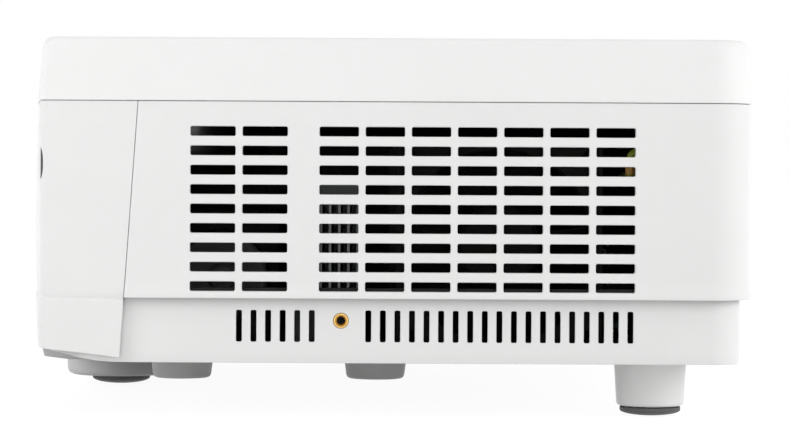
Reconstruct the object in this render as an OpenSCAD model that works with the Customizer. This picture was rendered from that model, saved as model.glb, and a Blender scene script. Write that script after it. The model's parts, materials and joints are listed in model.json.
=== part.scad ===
// Table-top projector with a disc player in its top cover, in millimetres.
// The lens looks along -Y, the vented side with the cable anchor is +X, and the table is z = 0.
// The origin is on the table, under the middle of the case.

/* [Case] */
// Width of the case
case_w = 312; // [306:1:330]
// Depth of the case, from the middle of the bowed front to the rear
case_d = 220; // [216:1:240]
// Height of the top above the table
case_top = 110.4; // [110:0.2:116]
// Height of the seam under the top cover
seam_z = 92; // [91:0.5:92.5]
// Height of the step where the lower case draws in
step_z = 35.2; // [34:0.2:36]
// Height of the case floor above the table
floor_z = 17.5; // [17:0.1:18]
// Wall thickness of the mouldings
wall = 2.5; // [2:0.1:2.8]
// How far the middle of the front bows out past its corners
bow = 13.8; // [8:0.2:16]
// Radius of the rear corners, seen from above
rear_corner = 15; // [8:0.5:18]
// Radius of the front corners, seen from above
front_corner = 2.5; // [1:0.1:4]
// How far the top cover stands out past the case sides
cap_lip = 0.5; // [0.3:0.1:1]
// Draft of the top cover's sides over their height
cap_draft = 1.2; // [0.5:0.1:2]
// Rounding of the top cover's upper edge
cap_round = 3; // [2:0.1:4]
// How far the rim under the side case stands out
rim_out = 0.4; // [0.1:0.1:0.4]
// Gap between mouldings that meet
seat = 0.3; // [0.2:0.05:0.35]

/* [Front cover] */
// Position in depth of the side seam, at its top end
cover_seam_y = -67.9; // [-69:0.1:-66]
// Lean of the side seam
cover_seam_lean = 3.9; // [2:0.1:5]
// Position in depth where the underside starts to rise
kick_y = -73; // [-76:0.5:-73]
// Slope of the rising underside
kick_angle = 9.3; // [5:0.1:11]
// Distance from the lens axis to the middle of the case
lens_x = -72; // [-78:1:-66]
// Height of the lens axis
lens_z = 64; // [63:0.5:65]
// Outer radius of the lens surround
bezel_r = 36; // [34:0.5:37]
// Radius of the remote-control window
window_r = 4.45; // [3:0.05:5]
// Height of the remote-control window
window_z = 73.8; // [68:0.2:80]

/* [Side vents] */
// Rows of slots
slot_rows = 9; // [5:1:9]
// Height of a slot
slot_h = 2.75; // [2:0.05:3.5]
// Distance between rows
slot_pitch = 5.58; // [5:0.02:5.6]
// Height of the top row
slot_top_z = 83.3; // [82:0.1:84]
// Columns of the long vent
fine_columns = 7; // [4:1:7]
// Slot length in the long vent
fine_w = 11.3; // [9:0.1:12]
// Distance between columns in the long vent
fine_pitch = 13.27; // [12.5:0.01:13.5]
// Position in depth of the first column of the long vent
fine_y = -10; // [-12:0.1:-8]
// Slot length in the short vent
broad_w = 13; // [11:0.1:13.5]
// Distance between columns in the short vent
broad_pitch = 15; // [14:0.1:15.5]
// Position in depth of the first column of the short vent
broad_y = -46.3; // [-48:0.1:-45]
// Width of an upright slit in the lower case
slit_w = 1.65; // [1.2:0.05:2]
// Height of an upright slit
slit_h = 9.1; // [7:0.1:9.5]
// Height of the slits' middle
slit_z = 27.2; // [26.8:0.1:27.4]
// Slits in front of the cable anchor
front_slits = 6; // [3:1:6]
// Position in depth of the first of them
front_slit_y = -38.7; // [-40:0.1:-38]
// Slits behind the cable anchor
rear_slits = 19; // [8:1:19]
// Position in depth of the first of them
rear_slit_y = -1.4; // [-2:0.1:0]
// Distance between slits
slit_pitch = 4.2; // [3.8:0.05:4.25]

/* [Feet and fixings] */
// Distance of the rear feet from the case sides
foot_in = 30; // [28:0.5:34]
// Distance of the rear feet from the rear
foot_back = 27.8; // [26:0.2:32]
// Radius of a rear foot's socket at the case floor
socket_r = 10.7; // [10.5:0.1:11.5]
// Radius of a rear foot's pad
pad_r = 9; // [8:0.1:9.5]
// Thickness of a rear foot's pad
pad_h = 2.5; // [2.3:0.1:3]
// Position in depth of the front foot
front_foot_y = -86.3; // [-87:0.1:-85.5]
// Radius of the front foot's housing
housing_r = 18.2; // [16:0.1:19]
// Radius of the front foot's pad
front_pad_r = 9.7; // [8:0.1:10.5]
// Thickness of the front foot's pad
front_pad_h = 2.9; // [2.5:0.1:3.4]
// Thread radius of the feet
stud_r = 4; // [3:0.5:4.5]
// Distance from a ceiling-mount hole to the next, across
mount_w = 156; // [150:1:160]
// Distance from a ceiling-mount hole to the next, in depth
mount_d = 60.5; // [58:0.5:62]
// Position in depth of the middle of the ceiling-mount holes
mount_y = -30; // [-32:0.5:-28]
// Radius of a ceiling-mount boss at the case floor
boss_r = 9.7; // [8.5:0.1:10]
// Length of a ceiling-mount boss
boss_h = 10.2; // [8:0.1:11]
// Hole radius of a ceiling-mount insert
insert_hole_r = 2; // [1.5:0.1:2.2]
// Outer radius of a ceiling-mount insert
insert_r = 3; // [2.8:0.1:3.5]
// Hole radius of the cable anchor
anchor_hole_r = 1.25; // [1:0.05:1.5]
// Outer radius of the cable anchor
anchor_r = 2.2; // [2:0.1:2.6]
// Length of the cable anchor
anchor_len = 5.7; // [4.5:0.1:6.5]
// Position in depth of the cable anchor
anchor_y = -9.3; // [-10:0.1:-8.5]
// Height of the cable anchor
anchor_z = 28.8; // [28:0.1:29.2]

/* [Lens and light] */
// Outer radius of the lens barrel
barrel_r = 25; // [24:0.5:25.5]
// Length of the lens barrel
barrel_len = 57; // [54:0.5:57.5]
// Front end of the lens barrel
barrel_front = -95; // [-95.5:0.1:-94.5]
// Radial clearance of a ring or wheel that turns
run_gap = 0.05; // [0.02:0.01:0.08]
// Wall of the focus and zoom rings
ring_wall = 4; // [3:0.2:4.5]
// Length of the focus ring along the lens
focus_len = 8; // [6:0.5:8.5]
// Length of the zoom ring along the lens
zoom_len = 10; // [8:0.5:10.5]
// Height of a ring's finger tab above the ring
tab_h = 8; // [6:0.5:9]
// Radius of the colour wheel
wheel_r = 20; // [16:0.5:21]
// Side of a cooling fan
fan_size = 60; // [56:1:62]
// Depth of a cooling fan
fan_depth = 20; // [15:1:20]
// Place of the intake fan's middle, as a share of the way from the case's middle to its rear
intake_share = 0.33; // [0.3:0.01:0.34]
// Place of the exhaust fan's middle, as a share of the same way
exhaust_share = 0.4; // [0.38:0.01:0.41]
// Blades on a fan
blades = 7; // [5:1:9]

/* [Disc player] */
// Side of the square drive
drive_w = 128; // [127:0.5:129]
// Height of the drive
drive_h = 12.7; // [12.5:0.1:13]
// Position in depth of the drive's middle
drive_y = 14; // [10:0.5:18]
// Thickness of the drive's steel shell
sheet = 0.8; // [0.6:0.1:0.9]
// Thickness of a telescopic tray rail
rail_t = 1.3; // [1.1:0.1:1.6]
// Radius of the disc recess
disc_r = 60.3; // [60.1:0.1:60.5]
// Thickness of the tray's front
tray_front_t = 4; // [3.5:0.1:4.5]
// Radius of the disc hub
hub_r = 7.4; // [7.2:0.1:7.5]
// Radius of the pickup's guide rods
rod_r = 1.5; // [1.2:0.1:1.6]

/* [Buttons] */
// Radius of a round button
button_r = 6; // [5:0.1:6.5]
// Travel of a button
button_travel = 0.6; // [0.4:0.1:0.8]
// Clearance round a button
button_gap = 0.25; // [0.2:0.05:0.4]
// Distance of the keypad's middle from the case side
keypad_in = 81; // [76:1:86]
// Position in depth of the keypad's middle
keypad_y = 10; // [5:1:15]
// Distance from the enter button to an arrow button
arrow_out = 14.5; // [14:0.5:18]

/* [Hidden] */
$fn = 48;

half_w = case_w / 2;
half_d = case_d / 2;
bow_r = (half_w * half_w + bow * bow) / (2 * bow);
bow_y = bow_r - half_d;
bow_fn = 360;
big = 400;

// Insets from the outermost outline
in_low_out = cap_lip + wall + seat;
in_low_in = in_low_out + wall;
cap_bottom = seam_z;
case_upper = seam_z - seat;
tongue_top = step_z + 3;
deck = floor_z + wall;
perch = deck + seat;

// Faces that pieces inside the case are placed from
side_x = half_w - in_low_in - seat;
anchor_x = half_w - in_low_out - anchor_len;
rear_foot_x = half_w - foot_in;
rear_foot_y = half_d - foot_back;
intake_y = half_d * intake_share;
exhaust_y = half_d * exhaust_share;
keypad_x = half_w - keypad_in;
rear_y = half_d - cap_lip - wall;
function cover_seam(z) = cover_seam_y - (seam_z - z) * tan(cover_seam_lean);
function bow_at(x) = bow_y - sqrt(bow_r * bow_r - x * x);

white = [0.93, 0.93, 0.92];
pale = [0.86, 0.86, 0.85];
grey = [0.45, 0.45, 0.46];
black = [0.08, 0.08, 0.09];
steel = [0.72, 0.73, 0.75];
brass = [0.80, 0.62, 0.30];
green = [0.10, 0.32, 0.20];

// ---- Outlines and cutters shared by the mouldings ----

// The case seen from above, drawn in by inset
module plan(inset) {
    x = half_w - inset;
    rear = half_d - inset;
    back_r = max(rear_corner - inset, 1);
    corner_y = bow_y - sqrt(pow(bow_r - inset - front_corner, 2) - pow(x - front_corner, 2));
    intersection() {
        translate([0, bow_y]) circle(r = bow_r - inset, $fn = bow_fn);
        union() {
            translate([front_corner - x, -half_d - 1]) square([2 * (x - front_corner), half_d + 2]);
            translate([-x, corner_y]) square([2 * x, rear - back_r - corner_y]);
            translate([back_r - x, 0]) square([2 * (x - back_r), rear]);
            for (side = [-1, 1]) {
                translate([side * (x - front_corner), corner_y]) circle(r = front_corner);
                translate([side * (x - back_r), rear - back_r]) circle(r = back_r);
            }
        }
    }
}

module slab(inset, z0, z1) {
    translate([0, 0, z0]) linear_extrude(z1 - z0) plan(inset);
}

module ring(inset, thick, z0, z1) {
    difference() {
        slab(inset, z0, z1);
        slab(inset + thick, z0 - 1, z1 + 1);
    }
}

// A (y, z) outline drawn out along X
module across(length) {
    rotate([90, 0, 90]) linear_extrude(length, center = true) children();
}

// Everything above the case's underside, raised by lift
module above_floor(lift) {
    reach = half_d + 20;
    rise = (kick_y + reach) * tan(kick_angle);
    across(2 * half_w + 40)
        polygon([[-reach, floor_z + lift + rise], [kick_y, floor_z + lift],
            [reach, floor_z + lift], [reach, big], [-reach, big]]);
}

// Everything behind the front cover's seam, set back by gap
module behind_seam(gap) {
    across(2 * half_w + 40)
        polygon([[cover_seam(-20) + gap, -20], [big, -20], [big, big], [cover_seam(big) + gap, big]]);
}

module box(low, high) {
    translate(low) cube(high - low);
}

// A cylinder along X, and one along Y, each from its start point
module rod_x(start, length, r) {
    translate(start) rotate([0, 90, 0]) cylinder(h = length, r = r);
}

module rod_y(start, length, r) {
    translate(start) rotate([-90, 0, 0]) cylinder(h = length, r = r);
}

module rounded(w, d, r) {
    square([w - 2 * r, d], center = true);
    square([w, d - 2 * r], center = true);
    for (i = [-1, 1], j = [-1, 1]) translate([i * (w / 2 - r), j * (d / 2 - r)]) circle(r = r);
}

// ---- Case mouldings ----

module cap_body(inset, top) {
    side_top = top - cap_round;
    drawn_in = cap_draft * (side_top - cap_bottom) / (case_top - cap_bottom);
    hull() {
        slab(inset, cap_bottom, cap_bottom + 0.01);
        for (turn = [0 : 22.5 : 90])
            translate([0, 0, side_top + cap_round * sin(turn)])
                linear_extrude(0.01) plan(inset + drawn_in + cap_round * (1 - cos(turn)));
    }
}

well_y = [barrel_front + 3, barrel_front + 29];
well_x = 24;
cap_inner = case_top - wall;
drive_top = cap_inner - 0.9;
drive_z = drive_top - drive_h;

module top_cover() {
    board_hold = keypad_z + board_t + seat;
    color(white) difference() {
        union() {
            difference() {
                cap_body(0, case_top - 0.01);
                translate([0, 0, -0.02]) cap_body(wall, cap_inner);
                slab(wall, cap_bottom - 1, cap_bottom + 0.5);
            }
            // Walls round the focus and zoom tabs
            box([lens_x - well_x - 2, well_y[0] - 2, case_upper + 6],
                [lens_x + well_x + 2, well_y[1] + 2, cap_inner + 0.5]);
            // Pads that the drive hangs under
            for (i = [-1, 1], j = [-1, 1])
                translate([drive_x + i * 45, drive_y + j * 45, drive_top + seat])
                    cylinder(h = cap_inner + 0.5 - drive_top - seat, r = 5);
            // Posts that hold the keypad board
            for (i = [-1, 1], j = [-1, 1])
                translate([keypad_x + i * board_post_x, keypad_y + j * board_post_y, board_hold])
                    cylinder(h = cap_inner + 0.5 - board_hold, r = 2.5);
        }
        box([lens_x - well_x, well_y[0], cap_bottom - 1], [lens_x + well_x, well_y[1], case_top + 1]);
        // Mouth of the disc tray
        box([-half_w - 1, drive_y - drive_w / 2 - seat, drive_z + sheet - seat],
            [-half_w + 2 * wall, drive_y + drive_w / 2 + seat, drive_top - sheet + seat]);
        for (spot = round_buttons)
            translate([spot[0], spot[1], cap_inner - 1]) cylinder(h = wall + 2, r = button_r + button_gap);
        for (turn = [0 : 90 : 270])
            arrow_place(turn) translate([0, 0, cap_inner - 1])
                linear_extrude(wall + 2) rounded(arrow_l + 2 * button_gap, arrow_w + 2 * button_gap, 2);
    }
}

module vent_slot(side, y, z, w, h) {
    translate([side * (half_w - cap_lip - wall / 2), y, z]) cube([3 * wall, w, h], center = true);
}

module slots(side, broad) {
    for (row = [0 : slot_rows - 1]) {
        z = slot_top_z - row * slot_pitch;
        for (i = [0 : fine_columns - 1]) vent_slot(side, fine_y + i * fine_pitch, z, fine_w, slot_h);
        for (i = [0 : 1 : broad - 1]) vent_slot(side, broad_y + i * broad_pitch, z, broad_w, slot_h);
    }
}

module slits(side) {
    x = half_w - in_low_out - wall / 2;
    for (i = [0 : front_slits - 1])
        translate([side * x, front_slit_y + i * slit_pitch, slit_z])
            cube([3 * wall, slit_w, slit_h], center = true);
    for (i = [0 : rear_slits - 1])
        translate([side * x, rear_slit_y + i * slit_pitch, slit_z])
            cube([3 * wall, slit_w, slit_h], center = true);
}

panel_low = [-112, 42];
panel_high = [138, 84];
panel_back = half_d - cap_lip - 2;

module side_case() {
    color(white) difference() {
        intersection() {
            union() {
                ring(cap_lip, wall, step_z, case_upper);
                ring(cap_lip - rim_out, wall + rim_out, step_z, step_z + 2.5);
            }
            behind_seam(seat / 2);
        }
        slots(1, 2);
        slots(-1, 0);
        box([panel_low[0], half_d - cap_lip - wall - 1, panel_low[1]],
            [panel_high[0], half_d + 1, panel_high[1]]);
    }
}

screw_in = 16;
screw_x = half_w - screw_in;
screw_rear = half_d - 14;
screw_spots = [[-screw_x, -64], [screw_x, -66], [-screw_x, 4], [screw_x, -34], [-60, screw_rear],
    [40, screw_rear]];

module floor_post(spot, top, r) {
    translate([spot[0], spot[1], floor_z + 0.5]) cylinder(h = top - floor_z - 0.5, r = r);
}

module bottom_case() {
    color(white) difference() {
        union() {
            difference() {
                intersection() {
                    slab(in_low_out, floor_z, tongue_top);
                    above_floor(0);
                }
                intersection() {
                    slab(in_low_in, floor_z, tongue_top + 1);
                    above_floor(wall);
                }
            }
            for (side = [-1, 1]) {
                translate([side * rear_foot_x, rear_foot_y, pad_h + seat])
                    cylinder(h = floor_z + 0.5 - pad_h - seat, r1 = socket_r - 0.7, r2 = socket_r);
                floor_post([side * rear_foot_x, rear_foot_y], stud_top + 2, post_r);
            }
            intersection() {
                floor_post(front_foot, stud_top + 2, post_r);
                above_floor(0.5);
            }
            for (spot = board_posts) floor_post(spot, board_z - seat, 3.5);
            for (spot = screw_spots) floor_post(spot, floor_z + 16, 4);
            rod_x([anchor_x, anchor_y, anchor_z], anchor_len - wall / 2, anchor_r + 2);
        }
        slits(1);
        slits(-1);
        for (foot = [left_foot, right_foot, front_foot]) stud_bore(foot);
        rod_y([lens_x, -half_d, lens_z], barrel_front + half_d + 2, bezel_r + 2 * seat);
        rod_x([anchor_x - 1, anchor_y, anchor_z], anchor_len + 2, anchor_r + 0.02);
        for (spot = screw_spots) translate([spot[0], spot[1], floor_z - 1]) {
            cylinder(h = 15, r = 1.6);
            cylinder(h = 2.5, r = 3.4);
        }
        for (i = [-1, 1], j = [-1, 1])
            translate([i * mount_w / 2, mount_y + j * mount_d / 2, floor_z - 1])
                cylinder(h = wall + 2, r = insert_r + 0.02);
    }
}

module front_cover() {
    band = 0.3;
    color(white) difference() {
        intersection() {
            union() {
                ring(cap_lip, wall, step_z, case_upper);
                ring(cap_lip - band, wall + band, floor_z, step_z);
            }
            above_floor(0.8);
        }
        behind_seam(-seat / 2);
        rod_y([lens_x, -half_d - 5, lens_z], 40, bezel_r + seat / 2);
        window_space(0.1);
        for (i = [0 : 2]) rod_y([light_x + i * light_pitch, -half_d - 5, light_z], 20, light_r + 0.1);
    }
}

window_x = half_w - cap_lip - window_r;
window_edge = 0.9;
light_x = 70;
light_pitch = 12;
light_z = 82;
light_r = 1.5;

// The window runs off the corner, so its edge is a shallow arc when seen from the side
module window_space(gap) {
    r = window_r + gap;
    arc_r = (window_r * window_r + window_edge * window_edge) / (2 * window_edge);
    arc_y = bow_at(half_w - cap_lip - front_corner) + cap_lip + window_edge - arc_r;
    intersection() {
        union() {
            rod_y([window_x, -half_d - 1, window_z], 25, r, $fn = 180);
            box([window_x, -half_d - 1, window_z - r], [half_w + 1, -half_d + 24, window_z + r]);
        }
        rod_x([window_x - 2 * window_r, arc_y, window_z], 5 * window_r, arc_r + gap, $fn = 360);
    }
}

module remote_window() {
    color(black) intersection() {
        ring(cap_lip, wall + 1, window_z - 10, window_z + 10);
        window_space(0);
    }
}

module status_lights() {
    color([0.85, 0.9, 0.95]) intersection() {
        ring(cap_lip, wall + 3, light_z - 5, light_z + 5);
        for (i = [0 : 2]) rod_y([light_x + i * light_pitch, -half_d, light_z], 20, light_r);
    }
}

module lens_bezel() {
    mouth = bezel_r - 3;
    throat = barrel_r + 4;
    depth = barrel_front - 1 + half_d;
    color(black) intersection() {
        translate([lens_x, -half_d, lens_z]) rotate([-90, 0, 0]) rotate_extrude($fn = 96)
            polygon([[mouth, 0], [bezel_r, 0], [bezel_r, depth], [throat, depth], [throat, depth - 2]]);
        slab(cap_lip + 0.2, lens_z - 50, case_upper);
    }
}

module panel_holes() {
    for (s = video_list) socket_hole(s);
    for (s = data_list) socket_hole(s);
    for (x = jack_list) rod_y([x, rear_y - 10, jack_z], 20, 3.6);
    translate([inlet_x, panel_back, inlet_z])
        cube([inlet_w + 2 * seat, 20, inlet_h + 2 * seat], center = true);
}

module rear_panel() {
    color(pale) difference() {
        box([panel_low[0] + seat, panel_back - wall, panel_low[1] + seat],
            [panel_high[0] - seat, panel_back, panel_high[1] - seat]);
        panel_holes();
    }
}

// ---- Feet and fixings ----

stud_top = floor_z + 14;
post_r = stud_r + 2.5;
pin_r = 2;

module stud_bore(spot) {
    translate([spot[0], spot[1], -1]) cylinder(h = stud_top + 2, r = stud_r + run_gap);
}

module foot_stud(spot, pad) {
    color(steel) translate([spot[0], spot[1], 0]) {
        translate([0, 0, pad]) cylinder(h = stud_top - pad, r = stud_r);
        translate([0, 0, pad / 2]) cylinder(h = pad / 2 + 1, r = pin_r);
    }
}

// A domed rubber pad that turns on the pin under its stud
module foot_pad(spot, r, h) {
    edge = 0.8;
    dome = h - edge - seat;
    color(black) translate([spot[0], spot[1], 0]) difference() {
        rotate_extrude() polygon(concat([[0, h - seat / 2], [0, 0]],
            [for (turn = [0 : 15 : 90]) [r - 2.5 * (1 - sin(turn)), dome * (1 - cos(turn))]],
            [[r, h - seat / 2]]));
        translate([0, 0, h / 2 - run_gap]) cylinder(h = h, r = pin_r + run_gap);
    }
}

left_foot = [-rear_foot_x, rear_foot_y];
right_foot = [rear_foot_x, rear_foot_y];
front_foot = [0, front_foot_y];
module left_foot_stud() foot_stud(left_foot, pad_h);
module left_foot_pad() foot_pad(left_foot, pad_r, pad_h);
module right_foot_stud() foot_stud(right_foot, pad_h);
module right_foot_pad() foot_pad(right_foot, pad_r, pad_h);
module front_foot_stud() foot_stud(front_foot, front_pad_h);
module front_foot_pad() foot_pad(front_foot, front_pad_r, front_pad_h);

module front_foot_housing() {
    chin_w = 120;
    chin_front = -half_d + 3.4;
    base = front_pad_h + seat;
    color(grey) difference() {
        union() {
            translate([0, front_foot_y, base]) cylinder(h = 25, r = housing_r);
            across(chin_w) polygon([[chin_front, floor_z + 8], [chin_front, floor_z - 1],
                [chin_front + 1, floor_z - 5], [chin_front + 9, floor_z - 6],
                [front_foot_y, floor_z - 6], [front_foot_y, floor_z + 8]]);
        }
        above_floor(0);
        stud_bore(front_foot);
        // Rounds the lower edge of the housing
        translate([0, front_foot_y, base]) rotate_extrude()
            polygon([[housing_r - 2, -1], [housing_r + 1, -1], [housing_r + 1, 2], [housing_r, 2],
                [housing_r - 0.6, 0.6], [housing_r - 2, 0]]);
    }
}

module at_mounts() {
    for (i = [-1, 1], j = [-1, 1])
        translate([i * mount_w / 2, mount_y + j * mount_d / 2, floor_z - boss_h]) children();
}

module ceiling_bosses() {
    tip = boss_r - 1.2;
    color(grey) at_mounts() difference() {
        rotate_extrude() polygon([[0, 0], [tip - 1, 0], [tip, 1], [boss_r, boss_h], [0, boss_h]]);
        translate([0, 0, -1]) cylinder(h = boss_h + 2, r = insert_r + 0.02);
    }
}

module ceiling_inserts() {
    color(brass) at_mounts() difference() {
        cylinder(h = boss_h + wall - 0.3, r = insert_r);
        translate([0, 0, -1]) cylinder(h = boss_h + wall + 2, r = insert_hole_r);
    }
}

module cable_anchor() {
    chamfer = 0.5;
    color(brass) translate([anchor_x, anchor_y, anchor_z]) rotate([0, 90, 0]) difference() {
        cylinder(h = anchor_len, r = anchor_r);
        translate([0, 0, -1]) cylinder(h = anchor_len + 2, r = anchor_hole_r);
        translate([0, 0, anchor_len - chamfer])
            cylinder(h = chamfer + 0.01, r1 = anchor_hole_r, r2 = anchor_hole_r + chamfer);
    }
}

module case_screws() {
    color(steel) for (spot = screw_spots) translate([spot[0], spot[1], floor_z]) {
        cylinder(h = 1.4, r = 3.2);
        cylinder(h = 13, r = 1.5);
    }
}

// ---- Lens and light ----

engine_front = barrel_front + barrel_len;
engine_low = [lens_x - 40, engine_front, lens_z - 24];
engine_high = [lens_x + 38, engine_front + 58, lens_z + 22];
engine_t = 3;
beam_r = 7;
leg_r = 5;
leg_in = 8;
barrel_bore = barrel_r - 4;
glass_gap = 0.05;

module leg(x, y, top) {
    translate([x, y, perch]) cylinder(h = top - perch + 0.5, r = leg_r);
}

module optical_engine() {
    t = engine_t;
    color(grey) union() {
        difference() {
            box(engine_low, engine_high);
            box(engine_low + [t, t, t], engine_high - [t, t, t]);
            rod_y([lens_x, engine_front - 1, lens_z], t + 2, barrel_bore - 2);
            rod_x([engine_high[0] - t - 1, beam_y, lens_z], t + 2, beam_r);
        }
        for (x = [engine_low[0] + leg_in, engine_high[0] - leg_in],
            y = [engine_front + leg_in, engine_high[1] - leg_in])
            leg(x, y, engine_low[2]);
    }
}

module lens_barrel() {
    color(black) translate([lens_x, barrel_front, lens_z]) rotate([-90, 0, 0]) difference() {
        union() {
            cylinder(h = barrel_len - 0.1, r = barrel_r, $fn = 96);
            cylinder(h = 3.5, r = barrel_r + 3, $fn = 96);
        }
        translate([0, 0, -1]) cylinder(h = barrel_len + 2, r = barrel_bore, $fn = 96);
    }
}

// Lens elements, each the slice that two spheres share
module element(y, r, thick) {
    ball = (r * r + thick * thick / 4) / thick;
    translate([lens_x, y, lens_z]) intersection() {
        translate([0, ball - thick / 2, 0]) sphere(r = ball, $fn = 300);
        translate([0, thick / 2 - ball, 0]) sphere(r = ball, $fn = 300);
        translate([0, -thick / 2 - 1, 0]) rotate([-90, 0, 0]) cylinder(h = thick + 2, r = r - 0.5, $fn = 96);
    }
}

module lens_glass() {
    color([0.5, 0.6, 0.8, 0.6]) {
        element(barrel_front + 8, barrel_bore + 0.45, 10);
        element(engine_front - 8, barrel_bore + 0.45, 8);
    }
}

module lens_ring(y, length) {
    inner = barrel_r + run_gap;
    outer = barrel_r + ring_wall;
    translate([lens_x, y, lens_z]) {
        rotate([-90, 0, 0]) difference() {
            cylinder(h = length, r = outer, $fn = 96);
            translate([0, 0, -1]) cylinder(h = length + 2, r = inner, $fn = 96);
        }
        translate([-2.5, 0, outer - 1]) cube([5, length, tab_h + 1]);
    }
}

focus_y = barrel_front + 5;
zoom_y = focus_y + focus_len + 2;
module focus_ring() color(black) lens_ring(focus_y, focus_len);
module zoom_ring() color(black) lens_ring(zoom_y, zoom_len);

beam_y = -12;
wheel_y = beam_y + 16;
wheel_x = engine_high[0] + 4;
shaft_r = 1.5;
motor_face = wheel_x + 2.5;
motor_len = 8;
motor_r = 10;
wheel_t = 1.2;
module_x = motor_face + motor_len;
module_len = 56;
module_y = [beam_y - 24, beam_y + 28];
module_z = [lens_z - 22, lens_z + 20];

module colour_wheel() {
    color([0.7, 0.75, 0.9, 0.7]) difference() {
        union() {
            rod_x([wheel_x - wheel_t / 2, wheel_y, lens_z - 2], wheel_t, wheel_r);
            rod_x([wheel_x - 2, wheel_y, lens_z - 2], 4, 7);
        }
        rod_x([wheel_x - 3, wheel_y, lens_z - 2], 6, shaft_r + run_gap);
    }
}

module wheel_motor() {
    color(steel) {
        rod_x([motor_face, wheel_y, lens_z - 2], motor_len, motor_r);
        rod_x([wheel_x - 2.5, wheel_y, lens_z - 2], motor_face - wheel_x + 3, shaft_r);
    }
}

module light_module() {
    color(grey) {
        difference() {
            box([module_x, module_y[0], module_z[0]], [module_x + module_len, module_y[1], module_z[1]]);
            rod_x([module_x - 1, beam_y, lens_z], 10, beam_r);
        }
        for (x = [module_x + leg_in, module_x + module_len - leg_in],
            y = [module_y[0] + leg_in, module_y[1] - leg_in]) leg(x, y, module_z[0]);
    }
}

sink_deep = 38;
sink_wide = 19.5;
sink_t = 4;
fin_z = [perch + 15.7, perch + 44.7];
sink_base = side_x - sink_deep;
sink_low = intake_y - fan_size;
sink_y = [sink_low, sink_low + sink_wide];
pipe_r = 3;
pipe_pitch = 8;

module heat_pipes() {
    start = module_x + module_len;
    color([0.78, 0.45, 0.30]) for (k = [-2 : 0], y = [sink_y[0] + 6, sink_y[0] + 6 + pipe_pitch])
        rod_x([start, y, lens_z + k * pipe_pitch], sink_base - start, pipe_r);
}

module side_heat_sink() {
    fins = 8;
    fin_t = 0.8;
    step = (sink_wide - fin_t) / (fins - 1);
    color(steel) {
        box([sink_base, sink_y[0], perch], [sink_base + sink_t, sink_y[1], fin_z[1] + 5]);
        for (i = [0 : fins - 1]) translate([sink_base + sink_t - 1, sink_y[0] + i * step, fin_z[0]])
            cube([sink_deep - sink_t + 1, fin_t, fin_z[1] - fin_z[0]]);
    }
}

imager_w = 52;
imager_h = 40;
imager_t = 1.6;
cooler_w = 36;
cooler_h = 32;
cooler_t = 3;
cooler_d = 14;

module imager_board() {
    color(green) translate([lens_x - imager_w / 2, engine_high[1] + 0.1, lens_z - imager_h / 2])
        cube([imager_w, imager_t, imager_h]);
}

module imager_heat_sink() {
    fins = 9;
    fin_t = 0.8;
    step = (cooler_w - fin_t) / (fins - 1);
    color(steel) translate([lens_x - cooler_w / 2, engine_high[1] + imager_t + 0.2, lens_z - cooler_h / 2]) {
        cube([cooler_w, cooler_t, cooler_h]);
        for (i = [0 : fins - 1]) translate([i * step, cooler_t - 1, 0])
            cube([fin_t, cooler_d - cooler_t + 1, cooler_h]);
    }
}

fan_hub = 12;
fan_bore = fan_size / 2 - 2;
fan_z = perch + fan_size / 2;

// A fan's frame, its outer face towards +X, with the spider on the other face
module fan_frame(x, y) {
    span = fan_size / 2 - 4;
    translate([x, y, fan_z]) {
        difference() {
            translate([-fan_depth / 2, 0, 0]) cube([fan_depth, fan_size, fan_size], center = true);
            rod_x([-fan_depth - 1, 0, 0], fan_depth + 2, fan_bore);
            for (i = [-1, 1], j = [-1, 1]) rod_x([-fan_depth - 1, i * span, j * span], fan_depth + 2, 1.8);
        }
        rod_x([-fan_depth, 0, 0], 2, fan_hub);
        rod_x([-fan_depth, 0, 0], fan_depth - 3, shaft_r);
        for (turn = [45 : 90 : 315])
            rotate([turn, 0, 0]) translate([-fan_depth, fan_hub - 1, -1.5])
                cube([2, fan_bore - fan_hub + 2, 3]);
    }
}

module fan_rotor(x, y) {
    tip = fan_bore - 1.2;
    chord = fan_depth - 8;
    translate([x, y, fan_z]) difference() {
        union() {
            rod_x([3 - fan_depth, 0, 0], fan_depth - 5, fan_hub);
            for (i = [0 : blades - 1])
                rotate([i * 360 / blades, 0, 0]) translate([-fan_depth / 2 + 0.5, (fan_hub + tip - 1) / 2, 0])
                    rotate([0, 38, 0]) cube([chord, tip - fan_hub + 1, 1.4], center = true);
        }
        rod_x([-fan_depth, 0, 0], fan_depth + 1, shaft_r + run_gap);
    }
}

module intake_fan_frame() color(black) fan_frame(side_x, intake_y);
module intake_fan_rotor() color(black) fan_rotor(side_x, intake_y);
module exhaust_fan_frame() color(black) fan_frame(fan_depth - side_x, exhaust_y);
module exhaust_fan_rotor() color(black) fan_rotor(fan_depth - side_x, exhaust_y);

// ---- Electronics ----

board_t = 1.6;
board_z = 44;
board_x = [-104, 44];
board_y = [42, panel_back - wall - 0.5];
board_posts = [[board_x[0] + 5, board_y[0] + 5], [board_x[1] - 5, board_y[0] + 5],
    [board_x[0] + 5, board_y[1] - 18], [board_x[1] - 5, board_y[1] - 18]];

module main_board() {
    top = board_z + board_t;
    color(green) {
        box([board_x[0], board_y[0], board_z], [board_x[1], board_y[1], top]);
        for (x = [-86, -50, 0]) box([x, 52, top - 0.2], [x + 22, 74, top + 2.5]);
        for (x = [-22, 28], y = [50, 64]) translate([x, y, top - 0.2]) cylinder(h = 10, r = 4);
    }
}

// Sockets: [middle x, width, height], standing on the main board
video_list = [[-86, 15, 6.4], [-62, 15, 6.4], [-34, 31, 12.6]];
data_list = [[0, 14.6, 7.4], [24, 16, 13.4]];
jack_list = [-12, 38];
jack_z = board_z + board_t + 16;
socket_depth = 14;
socket_wall = 0.9;
socket_face = panel_back + 0.3;

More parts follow.
